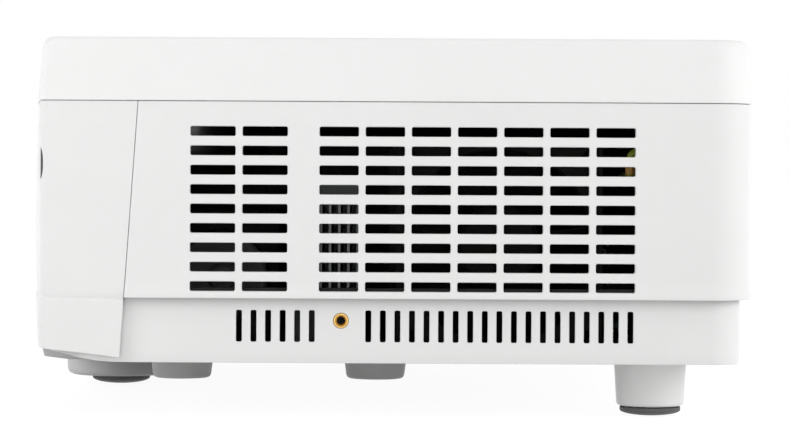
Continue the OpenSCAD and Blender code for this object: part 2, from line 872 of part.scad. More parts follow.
module socket_hole(s) {
    translate([s[0] - s[1] / 2 - seat, panel_back - wall - 1, board_z + board_t - seat])
        cube([s[1] + 2 * seat, wall + 2, s[2] + 2 * seat]);
}

module socket(s) {
    low = [s[0] - s[1] / 2, socket_face - socket_depth, board_z + board_t];
    difference() {
        translate(low) cube([s[1], socket_depth, s[2]]);
        translate(low + [socket_wall, 3, socket_wall])
            cube([s[1] - 2 * socket_wall, socket_depth, s[2] - 2 * socket_wall]);
    }
}

// The 15-pin socket has a filled shell with a raised rim and rows of pin holes
module pin_socket(s) {
    z = board_z + board_t + s[2] / 2;
    difference() {
        union() {
            translate([s[0], socket_face - socket_depth / 2, z])
                cube([s[1], socket_depth, s[2]], center = true);
            translate([s[0], socket_face + 0.6, z]) rotate([90, 0, 0]) linear_extrude(3) rounded(17, 8.4, 2);
            for (side = [-1, 1]) rod_y([s[0] + side * 12.5, socket_face - 1, z], 2.4, 2.3);
        }
        for (row = [-1, 0, 1], i = [-2 : 2])
            rod_y([s[0] + i * 2.3 + row * 0.5, socket_face - 4, z + row * 2], 6, 0.5);
        for (side = [-1, 1]) rod_y([s[0] + side * 12.5, socket_face - 4, z], 6, 1.2);
    }
}

module video_sockets() {
    color(steel) {
        socket(video_list[0]);
        socket(video_list[1]);
        pin_socket(video_list[2]);
    }
}

// Data sockets and the two sound jacks, which stand on plinths
module data_sockets() {
    color(steel) {
        for (s = data_list) socket(s);
        for (x = jack_list) difference() {
            union() {
                box([x - 4, socket_face - socket_depth, board_z + board_t],
                    [x + 4, panel_back - wall - seat, jack_z + 4]);
                rod_y([x, socket_face - 6, jack_z], 6.5, 3.3);
            }
            rod_y([x, socket_face - 11, jack_z], 12, 1.75);
        }
    }
}

supply_z = perch + 5;
supply_x = [rear_foot_x - 74, rear_foot_x - post_r - 2];
supply_y = [intake_y + fan_size / 2 + 4, half_d - rear_corner - 1];
coil_w = 26;
coil_h = 22;
can_r = 5;
can_h = 24;

module power_supply() {
    top = supply_z + board_t;
    color(green) {
        box([supply_x[0], supply_y[0], supply_z], [supply_x[1], supply_y[1], top]);
        for (x = [supply_x[0] + 5, supply_x[1] - 5], y = [supply_y[0] + 5, supply_y[1] - 4])
            translate([x, y, perch]) cylinder(h = supply_z + 0.5 - perch, r = 3);
        // Transformer and smoothing capacitors
        translate([supply_x[0] + 12, supply_y[0] + 3, top - 0.2])
            cube([coil_w, supply_y[1] - supply_y[0] - 6, coil_h]);
        for (i = [0, 1])
            translate([supply_x[1] - can_r - 2 - i * (2 * can_r + 2), supply_y[1] - can_r - 2, top - 0.2])
                cylinder(h = can_h, r = can_r);
    }
}

inlet_x = 104;
inlet_z = 62;
inlet_w = 27;
inlet_h = 20;
inlet_depth = 24;

// Mains inlet: a flange outside the panel, a body inside it, and three blades in the recess
module power_inlet() {
    face = panel_back + 0.1;
    depth = inlet_depth;
    color(black) {
        difference() {
            union() {
                translate([inlet_x, face + 0.8, inlet_z])
                    cube([inlet_w + 4, 1.6, inlet_h + 4], center = true);
                translate([inlet_x, face - depth / 2 + 0.1, inlet_z])
                    cube([inlet_w, depth, inlet_h], center = true);
            }
            translate([inlet_x, face - 7.5, inlet_z]) cube([inlet_w - 3, 18.6, inlet_h - 3], center = true);
        }
        for (i = [-1, 0, 1]) translate([inlet_x + i * 7, face - 12, inlet_z + 3 + (i == 0 ? 3 : 0)])
            cube([2, 12, 4], center = true);
    }
}

lead_r = 1.2;
lead_x = side_x - 3;
lead_y = [supply_y[0] + 4, half_d - 12];
lead_z = [inlet_z + 9, inlet_z + 16];
lead_path = [[supply_x[1] - 3, lead_y[0], supply_z + board_t], [supply_x[1] - 3, lead_y[0], lead_z[0]],
    [lead_x, lead_y[0], lead_z[0]], [lead_x, lead_y[0], lead_z[1]], [lead_x, lead_y[1], lead_z[1]],
    [inlet_x, lead_y[1], lead_z[1]], [inlet_x, lead_y[1], inlet_z + inlet_h / 2]];

// Earth lead from the supply board to the mains inlet, with square bends
module earth_lead() {
    color([0.75, 0.80, 0.15]) {
        for (i = [1 : 5]) translate(lead_path[i]) sphere(r = lead_r);
        translate(lead_path[0]) cylinder(h = lead_path[1][2] - lead_path[0][2], r = lead_r);
        rod_x(lead_path[1], lead_path[2][0] - lead_path[1][0], lead_r);
        translate(lead_path[2]) cylinder(h = lead_path[3][2] - lead_path[2][2], r = lead_r);
        rod_y(lead_path[3], lead_path[4][1] - lead_path[3][1], lead_r);
        rod_x(lead_path[5], lead_path[4][0] - lead_path[5][0], lead_r);
        translate(lead_path[6]) cylinder(h = lead_path[5][2] - lead_path[6][2], r = lead_r);
    }
}

speaker_w = 40;
speaker_d = 34;
speaker_h = 40;
speaker_corner = [side_x - 57.9, -62, perch];

module speaker() {
    low = speaker_corner;
    high = low + [speaker_w, speaker_d, speaker_h];
    color(black) difference() {
        box(low, high);
        rod_x([high[0] - 4, (low[1] + high[1]) / 2, (low[2] + high[2]) / 2], 5, 14);
    }
}

// ---- Keypad ----

arrow_l = 14;
arrow_w = 7;
keypad_z = cap_inner - 8;
button_top = case_top - 0.1;
switch_top = keypad_z + board_t + 2.6;
flange_top = cap_inner - seat;
flange_h = 1.2;
power_spot = [keypad_x, keypad_y + 42];
source_spot = [keypad_x - 22, keypad_y - 30];
menu_spot = [keypad_x + 22, keypad_y - 30];
enter_spot = [keypad_x, keypad_y];
round_buttons = [power_spot, source_spot, menu_spot, enter_spot];
board_post_x = 32;
board_post_y = 46;

module arrow_place(turn) {
    translate([keypad_x, keypad_y, 0]) rotate([0, 0, turn]) translate([0, arrow_out, 0]) children();
}

module switch_spots() {
    for (spot = round_buttons) translate([spot[0], spot[1], 0]) children();
    for (turn = [0 : 90 : 270]) arrow_place(turn) children();
}

module keypad_board() {
    color(green) {
        box([keypad_x - 36, keypad_y - 50, keypad_z], [keypad_x + 36, keypad_y + 50, keypad_z + board_t]);
        switch_spots() translate([0, 0, keypad_z + board_t - 0.2]) cylinder(h = 2.8, r = 2.5);
    }
}

// A button's stem ends just above its switch, and its flange lies under the cover
module button_stem() {
    low = switch_top + button_travel + 0.1;
    translate([0, 0, low]) cylinder(h = flange_top - low, r = 2);
}

module round_button(spot) {
    color(pale) translate([spot[0], spot[1], 0]) {
        button_stem();
        translate([0, 0, flange_top - flange_h]) cylinder(h = flange_h, r = button_r + 1);
        translate([0, 0, flange_top - 0.1]) cylinder(h = button_top - flange_top + 0.1, r = button_r);
    }
}

module arrow_button(turn) {
    color(pale) arrow_place(turn) {
        button_stem();
        translate([0, 0, flange_top - flange_h]) linear_extrude(flange_h) rounded(arrow_l + 1.4, arrow_w, 2);
        translate([0, 0, flange_top - 0.1])
            linear_extrude(button_top - flange_top + 0.1) rounded(arrow_l, arrow_w, 2);
    }
}

module power_button() round_button(power_spot);
module source_button() round_button(source_spot);
module menu_button() round_button(menu_spot);
module enter_button() round_button(enter_spot);
module up_button() arrow_button(0);
module left_button() arrow_button(90);
module down_button() arrow_button(180);
module right_button() arrow_button(270);

// ---- Disc player ----

drive_front = -half_w + 5.4;
drive_x = drive_front + drive_w / 2;
side_gap = 0.25;
tray_w = drive_w - 2 * (sheet + rail_t + 2 * side_gap);
tray_low = drive_z + sheet + 0.4;
tray_high = drive_top - sheet - 0.9;
recess_z = tray_high - 1.8;
tray_floor_z = recess_z - 1.6;
tray_end = drive_front + drive_w - 1.2;
hub_x = drive_front + disc_r + 1.2;
pickup_in = 25;
pickup_half = 5.5;
pickup_run = tray_end - 2 - pickup_half - 0.4 - hub_x - pickup_in;
rod_z = tray_low + 4;
rod_off = 12;
rib_x = hub_x + 14.5;
screw_off = 20;
screw_r = 1.2;

module drive_case() {
    color(steel) difference() {
        box([drive_front, drive_y - drive_w / 2, drive_z],
            [drive_front + drive_w, drive_y + drive_w / 2, drive_top]);
        box([drive_front - 1, drive_y - drive_w / 2 + sheet, drive_z + sheet],
            [drive_front + drive_w - sheet, drive_y + drive_w / 2 - sheet, drive_top - sheet]);
    }
}

module disc_tray() {
    side = 2;
    half = tray_w / 2;
    color(black) {
        difference() {
            box([drive_front, drive_y - half, tray_low], [tray_end, drive_y + half, tray_high]);
            box([drive_front + side, drive_y - half + side, tray_low - 1],
                [tray_end - side, drive_y + half - side, tray_floor_z]);
            translate([hub_x, drive_y, recess_z]) cylinder(h = 10, r = disc_r, $fn = 96);
            translate([hub_x, drive_y, tray_low]) cylinder(h = 20, r = hub_r + 5);
            box([hub_x, drive_y - 16, tray_floor_z - 1],
                [tray_end - side - 0.5, drive_y + 16, tray_high + 1]);
        }
        // Rib that carries the guide rods and the lead screw
        difference() {
            box([rib_x, drive_y - 18, tray_low], [rib_x + 1.5, drive_y + 26, tray_floor_z + 0.1]);
            rod_x([rib_x - 1, drive_y + screw_off, rod_z], 4, screw_r + run_gap);
        }
        for (side_sign = [-1, 1])
            rod_x([rib_x + 1, drive_y + side_sign * rod_off, rod_z], tray_end - rib_x - 2, rod_r);
    }
}

eject_y = drive_y + 40;
eject_z = (drive_z + drive_top) / 2;
front_low = drive_z + sheet;
front_high = drive_top - sheet;

module tray_front() {
    half = drive_w / 2 - 0.1;
    color(white) difference() {
        box([drive_front - 0.05 - tray_front_t, drive_y - half, front_low],
            [drive_front - 0.05, drive_y + half, front_high]);
        translate([drive_front - tray_front_t, eject_y, eject_z])
            cube([3 * tray_front_t, 9 + 2 * button_gap, 3.4 + 2 * button_gap], center = true);
        rod_x([drive_front - 2 * tray_front_t, eject_y - 14, eject_z], 3 * tray_front_t, 0.8);
    }
}

module eject_button() {
    color(pale) box([drive_front - tray_front_t, eject_y - 4.5, eject_z - 1.7],
        [drive_front - 0.9, eject_y + 4.5, eject_z + 1.7]);
}

// One telescopic rail on each side of the tray
module tray_rails() {
    color(steel) for (side = [-1, 1])
        translate([drive_front + 1, drive_y + side * (tray_w / 2 + side_gap + rail_t / 2), tray_low + 4.2])
            translate([0, -rail_t / 2, -3]) cube([drive_w - 4, rail_t, 6]);
}

spindle_top = tray_floor_z - 0.6;

module spindle_motor() {
    color(steel) translate([hub_x, drive_y, 0]) {
        translate([0, 0, tray_low + 0.3]) cylinder(h = spindle_top - tray_low - 0.3, r = 11.8);
        translate([0, 0, spindle_top - 0.1]) cylinder(h = 3.6, r = shaft_r);
        translate([-3, -(hub_r + 7), tray_low + 0.3]) cube([6, 2 * hub_r + 14, 1.2]);
        for (side = [-1, 1]) translate([0, side * (hub_r + 7), tray_low + 0.3])
            cylinder(h = tray_floor_z - tray_low - 0.6, r = 2.5);
    }
}

module disc_hub() {
    color(black) translate([hub_x, drive_y, spindle_top + 0.3]) difference() {
        union() {
            cylinder(h = 2.4, r = 11.5);
            cylinder(h = tray_high + 0.5 - spindle_top - 0.3, r = hub_r);
        }
        translate([0, 0, -1]) cylinder(h = 20, r = shaft_r + run_gap);
    }
}

module pickup() {
    x = hub_x + pickup_in;
    color(grey) difference() {
        union() {
            box([x - pickup_half, drive_y - 15.5, rod_z - 2.8],
                [x + pickup_half, drive_y + 15.5, rod_z + 2.4]);
            box([x - 2, drive_y + 15, rod_z - 2.8], [x + 2, drive_y + screw_off + 2, rod_z - screw_r - 0.3]);
            translate([x, drive_y, rod_z + 2.3]) cylinder(h = 1.6, r = 3);
        }
        for (side = [-1, 1])
            rod_x([x - 10, drive_y + side * rod_off, rod_z], 20, rod_r + 0.04);
    }
}

// Lead screw, its end journals in the rib and just short of the tray's end wall
module lead_screw() {
    color(steel) rod_x([rib_x - 6, drive_y + screw_off, rod_z], tray_end - 2 - seat - rib_x + 6, screw_r);
}

top_cover();
side_case();
bottom_case();
front_cover();
rear_panel();
lens_bezel();
remote_window();
status_lights();
cable_anchor();
ceiling_bosses();
ceiling_inserts();
case_screws();
front_foot_housing();
front_foot_stud();
front_foot_pad();
left_foot_stud();
left_foot_pad();
right_foot_stud();
right_foot_pad();
optical_engine();
lens_barrel();
lens_glass();
focus_ring();
zoom_ring();
colour_wheel();
wheel_motor();
imager_board();
imager_heat_sink();
light_module();
heat_pipes();
side_heat_sink();
intake_fan_frame();
intake_fan_rotor();
exhaust_fan_frame();
exhaust_fan_rotor();
main_board();
video_sockets();
data_sockets();
power_supply();
power_inlet();
earth_lead();
speaker();
keypad_board();
power_button();
source_button();
menu_button();
enter_button();
up_button();
down_button();
left_button();
right_button();
drive_case();
disc_tray();
tray_front();
tray_rails();
eject_button();
disc_hub();
spindle_motor();
pickup();
lead_screw();
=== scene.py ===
"""A white table-top projector with a slim disc player in its top cover.

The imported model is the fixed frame. -Y is the way the lens looks, +X the vented side that the
camera faces, and the table is z = 0. Sizes are written in millimetres and turned to metres by MM.
"""

import json
import math
import random

import bmesh
import bpy
from mathutils import Matrix, Vector


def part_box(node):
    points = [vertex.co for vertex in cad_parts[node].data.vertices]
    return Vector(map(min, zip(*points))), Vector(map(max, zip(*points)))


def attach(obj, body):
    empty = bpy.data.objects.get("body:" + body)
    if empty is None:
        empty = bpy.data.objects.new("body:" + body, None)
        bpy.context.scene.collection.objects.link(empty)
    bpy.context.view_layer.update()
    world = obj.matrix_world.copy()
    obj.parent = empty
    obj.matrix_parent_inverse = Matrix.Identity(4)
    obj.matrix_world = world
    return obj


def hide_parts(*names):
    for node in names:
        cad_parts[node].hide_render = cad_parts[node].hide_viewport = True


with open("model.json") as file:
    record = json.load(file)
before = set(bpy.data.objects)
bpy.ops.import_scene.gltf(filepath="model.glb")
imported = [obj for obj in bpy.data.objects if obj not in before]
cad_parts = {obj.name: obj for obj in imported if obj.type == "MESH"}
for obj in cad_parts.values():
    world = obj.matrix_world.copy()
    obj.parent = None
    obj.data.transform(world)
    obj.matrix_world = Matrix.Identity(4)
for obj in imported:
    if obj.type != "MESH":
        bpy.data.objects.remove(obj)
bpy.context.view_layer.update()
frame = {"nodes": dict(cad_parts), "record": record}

MM = 0.001
NODES = frame["nodes"]
BODY_OF = {n: body for body, nodes in frame["record"]["behaviour"]["bodies"].items() for n in nodes}
SLOT_OF = {s["node"]: s["material_slot"] for s in frame["record"]["subparts"]}


def low(node):
    """Lowest corner of a CAD node, in millimetres."""
    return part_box(node)[0] / MM


def high(node):
    """Highest corner of a CAD node, in millimetres."""
    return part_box(node)[1] / MM


def middle(node):
    """Centre of a CAD node, in millimetres."""
    return (low(node) + high(node)) / 2


# ---------------------------------------------------------------- driving dimensions

WALL = 2.5
SEAT = 0.3
CAP_LIP = 0.5
CAP_DRAFT = 1.2
CAP_ROUND = 3.0
REAR_CORNER = 12.5
FRONT_CORNER = 2.5
BOW = 13.8
HALF_W = high("top_cover").x
HALF_D = high("top_cover").y
CASE_TOP = high("top_cover").z
SEAM_Z = low("top_cover").z
STEP_Z = low("side_case").z
FLOOR_Z = 17.5
TONGUE_TOP = STEP_Z + 3
LOW_INSET = CAP_LIP + WALL + SEAT
BOW_R = (HALF_W**2 + BOW**2) / (2 * BOW)
BOW_Y = BOW_R - HALF_D
SEAM_Y = -67.9
SEAM_SLOPE = math.tan(math.radians(3.9))
KICK_Y = -73.0
KICK_SLOPE = math.tan(math.radians(9.3))
LENS_X = (low("lens_barrel").x + high("lens_barrel").x) / 2
LENS_Z = (low("lens_barrel").z + high("lens_barrel").z) / 2
BARREL_FRONT = low("lens_barrel").y

# Lower edge of the case and of the front cover, as (depth, height)
LOW_EDGE = [(-140.0, 28.0), (-97.0, 20.9), (-88.0, 18.75), (-84.5, 17.75),
            (-80.0, 16.95), (-76.0, 16.6), (-70.0, 16.5), (150.0, 16.5)]
FRONT_EDGE = [(-140.0, 28.2), (-97.0, 21.0), (-93.4, 20.35), (-84.8, 19.45),
              (-76.0, 18.4), (-71.5, 17.8), (150.0, 17.8)]
LEAN_FROM, LEAN, MOST_LEAN = 60, 0.036, 1.6
TUCK_FROM, TUCK = 45, 0.065


def seam_y(z):
    """Depth of the seam between the front cover and the side case."""
    return SEAM_Y - (SEAM_Z - z) * SEAM_SLOPE


def underside_z(y):
    """Height of the case's underside, which rises towards the front."""
    return FLOOR_Z + max(0.0, KICK_Y - y) * KICK_SLOPE


def bow_at(x):
    """Depth of the bowed front at x."""
    return BOW_Y - math.sqrt(BOW_R**2 - x * x)


def recede(z):
    """How far the front leans back from its fullest height, in millimetres."""
    if z > LEAN_FROM:
        return min(MOST_LEAN, LEAN * (z - LEAN_FROM))
    return TUCK * max(0.0, TUCK_FROM - z)


# ---------------------------------------------------------------- materials


class Nodes:
    """A thin wrapper that adds and links shader nodes."""

    def __init__(self, material):
        material.use_nodes = True
        self.tree = material.node_tree
        self.bsdf = self.tree.nodes["Principled BSDF"]
        self.output = self.tree.nodes["Material Output"]
        self.coords = self.tree.nodes.new("ShaderNodeTexCoord").outputs["Object"]

    def set(self, **values):
        """Sets inputs of the main shader, with _ for a space in their names."""
        for key, value in values.items():
            self.bsdf.inputs[key.replace("_", " ")].default_value = value

    def surface(self, colour, rough):
        """Drives the main shader's colour and roughness."""
        self.link(colour, self.bsdf.inputs["Base Color"])
        self.link(rough, self.bsdf.inputs["Roughness"])

    def add(self, kind, values=None, **props):
        node = self.tree.nodes.new("ShaderNode" + kind)
        for key, value in props.items():
            setattr(node, key, value)
        for key, value in (values or {}).items():
            node.inputs[key].default_value = value
        return node

    def link(self, a, b):
        self.tree.links.new(a, b)

    def noise(self, scale, detail=3.0, stretch=(1, 1, 1)):
        mapping = self.add("Mapping", {"Scale": stretch})
        self.link(self.coords, mapping.inputs["Vector"])
        noise = self.add("TexNoise", {"Scale": scale, "Detail": detail, "Roughness": 0.55})
        self.link(mapping.outputs[0], noise.inputs["Vector"])
        return noise.outputs["Fac"]

    def ramp(self, factor, stops):
        ramp = self.add("ValToRGB")
        elements = ramp.color_ramp.elements
        while len(elements) < len(stops):
            elements.new(0.5)
        for element, (position, colour) in zip(elements, stops):
            element.position = position
            element.color = (*colour, 1.0)
        self.link(factor, ramp.inputs[0])
        return ramp.outputs[0]

    def grey_range(self, factor, lowest, highest):
        spread = self.add("MapRange", {"From Min": 0.3, "From Max": 0.7, "To Min": lowest, "To Max": highest})
        self.link(factor, spread.inputs["Value"])
        return spread.outputs[0]

    def bump(self, height, strength, distance):
        bump = self.add("Bump", {"Strength": strength, "Distance": distance})
        self.link(height, bump.inputs["Height"])
        self.link(bump.outputs[0], self.bsdf.inputs["Normal"])


def plastic(name, colour, rough, grain=2600.0, grain_depth=0.00002, coat=0.0, spread=0.02, shine=0.5):
    """Moulded plastic: a faint mottle, a fine spark-eroded grain and uneven gloss."""
    material = bpy.data.materials.new(name)
    n = Nodes(material)
    darker = tuple(max(0.0, c - spread) for c in colour)
    n.surface(n.ramp(n.noise(38.0), [(0.3, darker), (0.7, colour)]),
              n.grey_range(n.noise(160.0), rough - 0.04, rough + 0.04))
    n.bump(n.noise(grain, 2.0), 0.35, grain_depth)
    n.set(Coat_Weight=coat, Coat_Roughness=0.12, Specular_IOR_Level=shine)
    return material


def metal(name, colour, rough, stretch=(1, 1, 1), grain=900.0, depth=0.00002):
    """Metal with drawn or cast grain and small changes of gloss."""
    material = bpy.data.materials.new(name)
    n = Nodes(material)
    darker = tuple(c * 0.86 for c in colour)
    n.surface(n.ramp(n.noise(grain, 4.0, stretch), [(0.3, darker), (0.7, colour)]),
              n.grey_range(n.noise(grain * 0.4, 3.0, stretch), rough - 0.08, rough + 0.08))
    n.bump(n.noise(grain, 3.0, stretch), 0.4, depth)
    n.set(Metallic=1.0)
    return material


def glass(name, colour, rough, tint):
    """Coated glass: its surface colour shifts towards the edge as an anti-reflection coat does."""
    material = bpy.data.materials.new(name)
    n = Nodes(material)
    facing = n.add("LayerWeight", {"Blend": 0.35})
    n.surface(n.ramp(facing.outputs["Facing"], [(0.0, colour), (1.0, tint)]),
              n.grey_range(n.noise(60.0), rough, rough + 0.03))
    n.set(Transmission_Weight=0.75, IOR=1.52, Coat_Weight=1.0, Coat_Roughness=0.03)
    return material


def board_material():
    """Solder mask with faint copper traces under it."""
    material = bpy.data.materials.new("board_mask")
    n = Nodes(material)
    wave = n.add("TexWave", {"Scale": 210.0, "Distortion": 9.0, "Detail": 3.0, "Detail Scale": 1.6})
    n.link(n.coords, wave.inputs["Vector"])
    colour = n.ramp(wave.outputs["Fac"], [(0.45, (0.012, 0.10, 0.05)), (0.62, (0.03, 0.19, 0.09))])
    n.surface(colour, n.grey_range(n.noise(300.0), 0.28, 0.42))
    n.bump(wave.outputs["Fac"], 0.3, 0.00004)
    return material


def wheel_material():
    """Dichroic glass segments, one colour after another round the wheel's axis."""
    material = bpy.data.materials.new("wheel_filters")
    n = Nodes(material)
    parts = n.add("SeparateXYZ")
    n.link(n.coords, parts.inputs[0])
    angle = n.add("Math", operation="ARCTAN2")
    for place, axis, centre in ((1, "Y", middle("colour_wheel").y), (0, "Z", middle("colour_wheel").z)):
        offset = n.add("Math", {1: centre * MM}, operation="SUBTRACT")
        n.link(parts.outputs[axis], offset.inputs[0])
        n.link(offset.outputs[0], angle.inputs[place])
    share = n.add("MapRange", {"From Min": -math.pi, "From Max": math.pi})
    n.link(angle.outputs[0], share.inputs["Value"])
    colours = [(0.0, (0.8, 0.05, 0.04)), (0.25, (0.05, 0.6, 0.1)),
               (0.5, (0.05, 0.1, 0.75)), (0.75, (0.8, 0.7, 0.1))]
    ramp = n.ramp(share.outputs[0], colours)
    ramp.node.color_ramp.interpolation = "CONSTANT"
    n.surface(ramp, n.grey_range(n.noise(90.0), 0.05, 0.12))
    n.set(Coat_Weight=1.0)
    return material


WHITE = plastic("white_shell", (0.80, 0.80, 0.795), 0.34, coat=0.12, spread=0.012)
# The cap's white is the shell's plastic made lighter: painted light falling on the top.
CAP_LIT_WHITE = plastic("white_cap_painted_light", (0.845, 0.845, 0.84), 0.32, coat=0.14, spread=0.012)
# Near-black painted shade for the inside of the white case and for what shows through its vents.
INNER_SHADE = plastic("painted_inner_shade", (0.038, 0.038, 0.038), 0.8, spread=0.01, shine=0.15)
MATT = plastic("matt_black", (0.010, 0.010, 0.010), 0.7, grain=1700.0, grain_depth=0.00004, spread=0.004,
               shine=0.1)
PALE = plastic("pale_panel", (0.66, 0.66, 0.65), 0.5, grain=1800.0, grain_depth=0.00004)
BUTTON = plastic("button_plastic", (0.62, 0.62, 0.62), 0.42, grain=2200.0)
# Grey a step darker than the shell: partly the plastic's own colour, partly painted shade under the case.
GREY = plastic("grey_plastic", (0.60, 0.60, 0.60), 0.5, grain=1500.0, grain_depth=0.00005)
BLACK = plastic("black_plastic", (0.016, 0.016, 0.018), 0.42, grain=1700.0, grain_depth=0.00004, spread=0.006)
WINDOW = plastic("window_black", (0.02, 0.012, 0.016), 0.08, grain=400.0, grain_depth=0.000005, spread=0.006)
PIPE = plastic("light_pipe", (0.62, 0.70, 0.76), 0.15, grain=500.0, grain_depth=0.000005)
RUBBER = plastic("rubber", (0.108, 0.108, 0.11), 0.6, grain=1300.0, grain_depth=0.00006, spread=0.01)
ICON = plastic("icon_print", (0.10, 0.10, 0.11), 0.5)
CHIP = plastic("chip_resin", (0.02, 0.02, 0.022), 0.6, grain=2400.0, spread=0.008)
LEAD = plastic("lead_yellow", (0.42, 0.46, 0.06), 0.5, grain=900.0)
AMBER = plastic("lead_amber", (0.62, 0.34, 0.08), 0.5, grain=900.0)
TAPE = plastic("winding_tape", (0.70, 0.52, 0.05), 0.3, grain=700.0, spread=0.08)
STEEL = metal("steel", (0.56, 0.57, 0.58), 0.34, (1, 9, 1), 500.0)
CAST = metal("cast_metal", (0.42, 0.43, 0.44), 0.5, grain=1200.0, depth=0.00006)
ALUMINIUM = metal("aluminium", (0.66, 0.67, 0.68), 0.36, (1, 1, 8), 420.0)
BRASS = metal("brass", (0.78, 0.52, 0.18), 0.26, grain=1500.0)
# Cast metal darkened to near black: painted shade for the light engine seen through the vents.
CAST_SHADED = metal("cast_painted_shade", (0.035, 0.036, 0.038), 0.6, grain=1200.0, depth=0.00006)
# Fins darkened from bare metal: painted shade behind the side vent.
FINS_SHADED = metal("fins_painted_shade", (0.16, 0.165, 0.17), 0.5, (1, 8, 1), 420.0)
COPPER = metal("copper", (0.80, 0.42, 0.26), 0.3, (8, 1, 1), 420.0)
GOLD = metal("contact_gold", (0.85, 0.62, 0.22), 0.22, grain=1500.0)
BOARD = board_material()
GLASS = glass("lens_glass", (0.30, 0.36, 0.55), 0.02, (0.45, 0.25, 0.55))
FILTERS = wheel_material()

BY_SLOT = {
    "white_shell": WHITE, "pale_panel": PALE, "button_plastic": BUTTON, "grey_plastic": GREY,
    "black_plastic": BLACK, "light_pipe": PIPE, "steel": STEEL, "cast_metal": CAST,
    "aluminium": ALUMINIUM, "copper": COPPER, "board": BOARD,
}


# ---------------------------------------------------------------- mesh helpers


def new_object(name, data):
    thing = bpy.data.objects.new(name, data)
    bpy.context.collection.objects.link(thing)
    return thing


def object_from(name, bm):
    """Makes an object of a bmesh in millimetres."""
    bmesh.ops.recalc_face_normals(bm, faces=bm.faces)
    mesh = bpy.data.meshes.new(name)
    bm.to_mesh(mesh)
    bm.free()
    mesh.transform(Matrix.Scale(MM, 4))
    return new_object(name, mesh)


def settle(piece, node, body=None):
    """Lets a piece ride on its body. One that stands for a CAD node takes that node's body and hides the node."""
    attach(piece, BODY_OF[node] if node else body)
    if node:
        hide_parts(node)
    return piece


def add_mesh(name, bm, materials, node=None, body="case", smooth=35.0):
    """Turns a bmesh into a piece that stands for a CAD node or rides on a body."""
    piece = object_from(name, bm)
    for material in materials:
        piece.data.materials.append(material)
    shade(piece.data, smooth)
    return settle(piece, node, body)


def shade(mesh, degrees):
    mesh.shade_smooth()
    mesh.set_sharp_from_angle(angle=math.radians(degrees))


def apply_modifiers(piece):
    """Bakes a piece's modifiers into its mesh."""
    graph = bpy.context.evaluated_depsgraph_get()
    baked = bpy.data.meshes.new_from_object(piece.evaluated_get(graph))
    piece.modifiers.clear()
    piece.data = baked


def round_edges(piece, width, segments=2, smooth=35.0):
    """Rounds every edge sharper than 32 degrees, by width in millimetres."""
    bm = bmesh.new()
    bm.from_mesh(piece.data)
    bmesh.ops.remove_doubles(bm, verts=bm.verts, dist=0.01 * MM)
    bmesh.ops.dissolve_limit(bm, angle_limit=math.radians(0.2), verts=bm.verts, edges=bm.edges)
    bm.to_mesh(piece.data)
    bm.free()
    bevel = piece.modifiers.new("edges", "BEVEL")
    bevel.width = width * MM
    bevel.segments = segments
    bevel.limit_method = "ANGLE"
    bevel.angle_limit = math.radians(32.0)
    bevel.use_clamp_overlap = False
    bevel.miter_outer = "MITER_ARC" if segments > 2 else "MITER_SHARP"
    apply_modifiers(piece)
    shade(piece.data, smooth)
    flatten = piece.modifiers.new("normals", "WEIGHTED_NORMAL")
    flatten.keep_sharp = True
    apply_modifiers(piece)
    return piece


def soften(node, width=0.25, segments=2, material=None):
    """Stands for a CAD node with the same mesh, its edges rounded as moulded or formed ones are."""
    mesh = NODES[node].data.copy()
    mesh.materials.clear()
    mesh.materials.append(material or BY_SLOT[SLOT_OF[node]])
    piece = new_object("dressed_" + node, mesh)
    round_edges(piece, width, segments)
    return settle(piece, node)


def skin(bm, rings, loop=False):
    """Joins rings of as many vertices each. A loop joins the last to the first; otherwise the ends close."""
    for a, b in zip(rings, rings[1:] + rings[:1] if loop else rings[1:]):
        for i in range(len(a)):
            j = (i + 1) % len(a)
            bm.faces.new((a[i], a[j], b[j], b[i]))
    if not loop:
        bm.faces.new(rings[0])
        bm.faces.new(rings[-1][::-1])


def box_into(bm, lo, hi):
    """Adds a closed box between two corners."""
    corners = [(x, y, z) for z in (lo[2], hi[2]) for y in (lo[1], hi[1]) for x in (lo[0], hi[0])]
    v = [bm.verts.new(c) for c in corners]
    for quad in ((0, 2, 3, 1), (4, 5, 7, 6), (0, 1, 5, 4), (1, 3, 7, 5), (3, 2, 6, 7), (2, 0, 4, 6)):
        bm.faces.new([v[i] for i in quad])


def box_piece(name, boxes, material, node=None, width=0.25):
    bm = bmesh.new()
    for lo, hi in boxes:
        box_into(bm, lo, hi)
    round_edges(add_mesh(name, bm, [material], node, "case"), width)


def prism_into(bm, outline, axis, start, end):
    """Adds a prism: an outline in the two other axes, drawn out along axis 0 (X), 1 (Y) or 2 (Z)."""
    def place(a, b, along):
        return ((along, a, b), (a, along, b), (a, b, along))[axis]
    first = [bm.verts.new(place(a, b, start)) for a, b in outline]
    last = [bm.verts.new(place(a, b, end)) for a, b in outline]
    count = len(outline)
    bm.faces.new(first)
    bm.faces.new(last[::-1])
    for i in range(count):
        j = (i + 1) % count
        bm.faces.new((first[i], first[j], last[j], last[i]))


def prism(outline, axis, start, end):
    bm = bmesh.new()
    prism_into(bm, outline, axis, start, end)
    return bm


def across_case(outline):
    """A prism through the whole width of the case and past it."""
    return prism(outline, 0, -HALF_W - 20, HALF_W + 20)


def arc(a, b, r, start, end, steps):
    """Points on a circle, in degrees from start to end."""
    angles = [math.radians(start + (end - start) * i / steps) for i in range(steps + 1)]
    return [(a + r * math.cos(t), b + r * math.sin(t)) for t in angles]


def circle(a, b, r, count=48):
    turn = 2 * math.pi / count
    return [(a + r * math.cos(i * turn), b + r * math.sin(i * turn)) for i in range(count)]


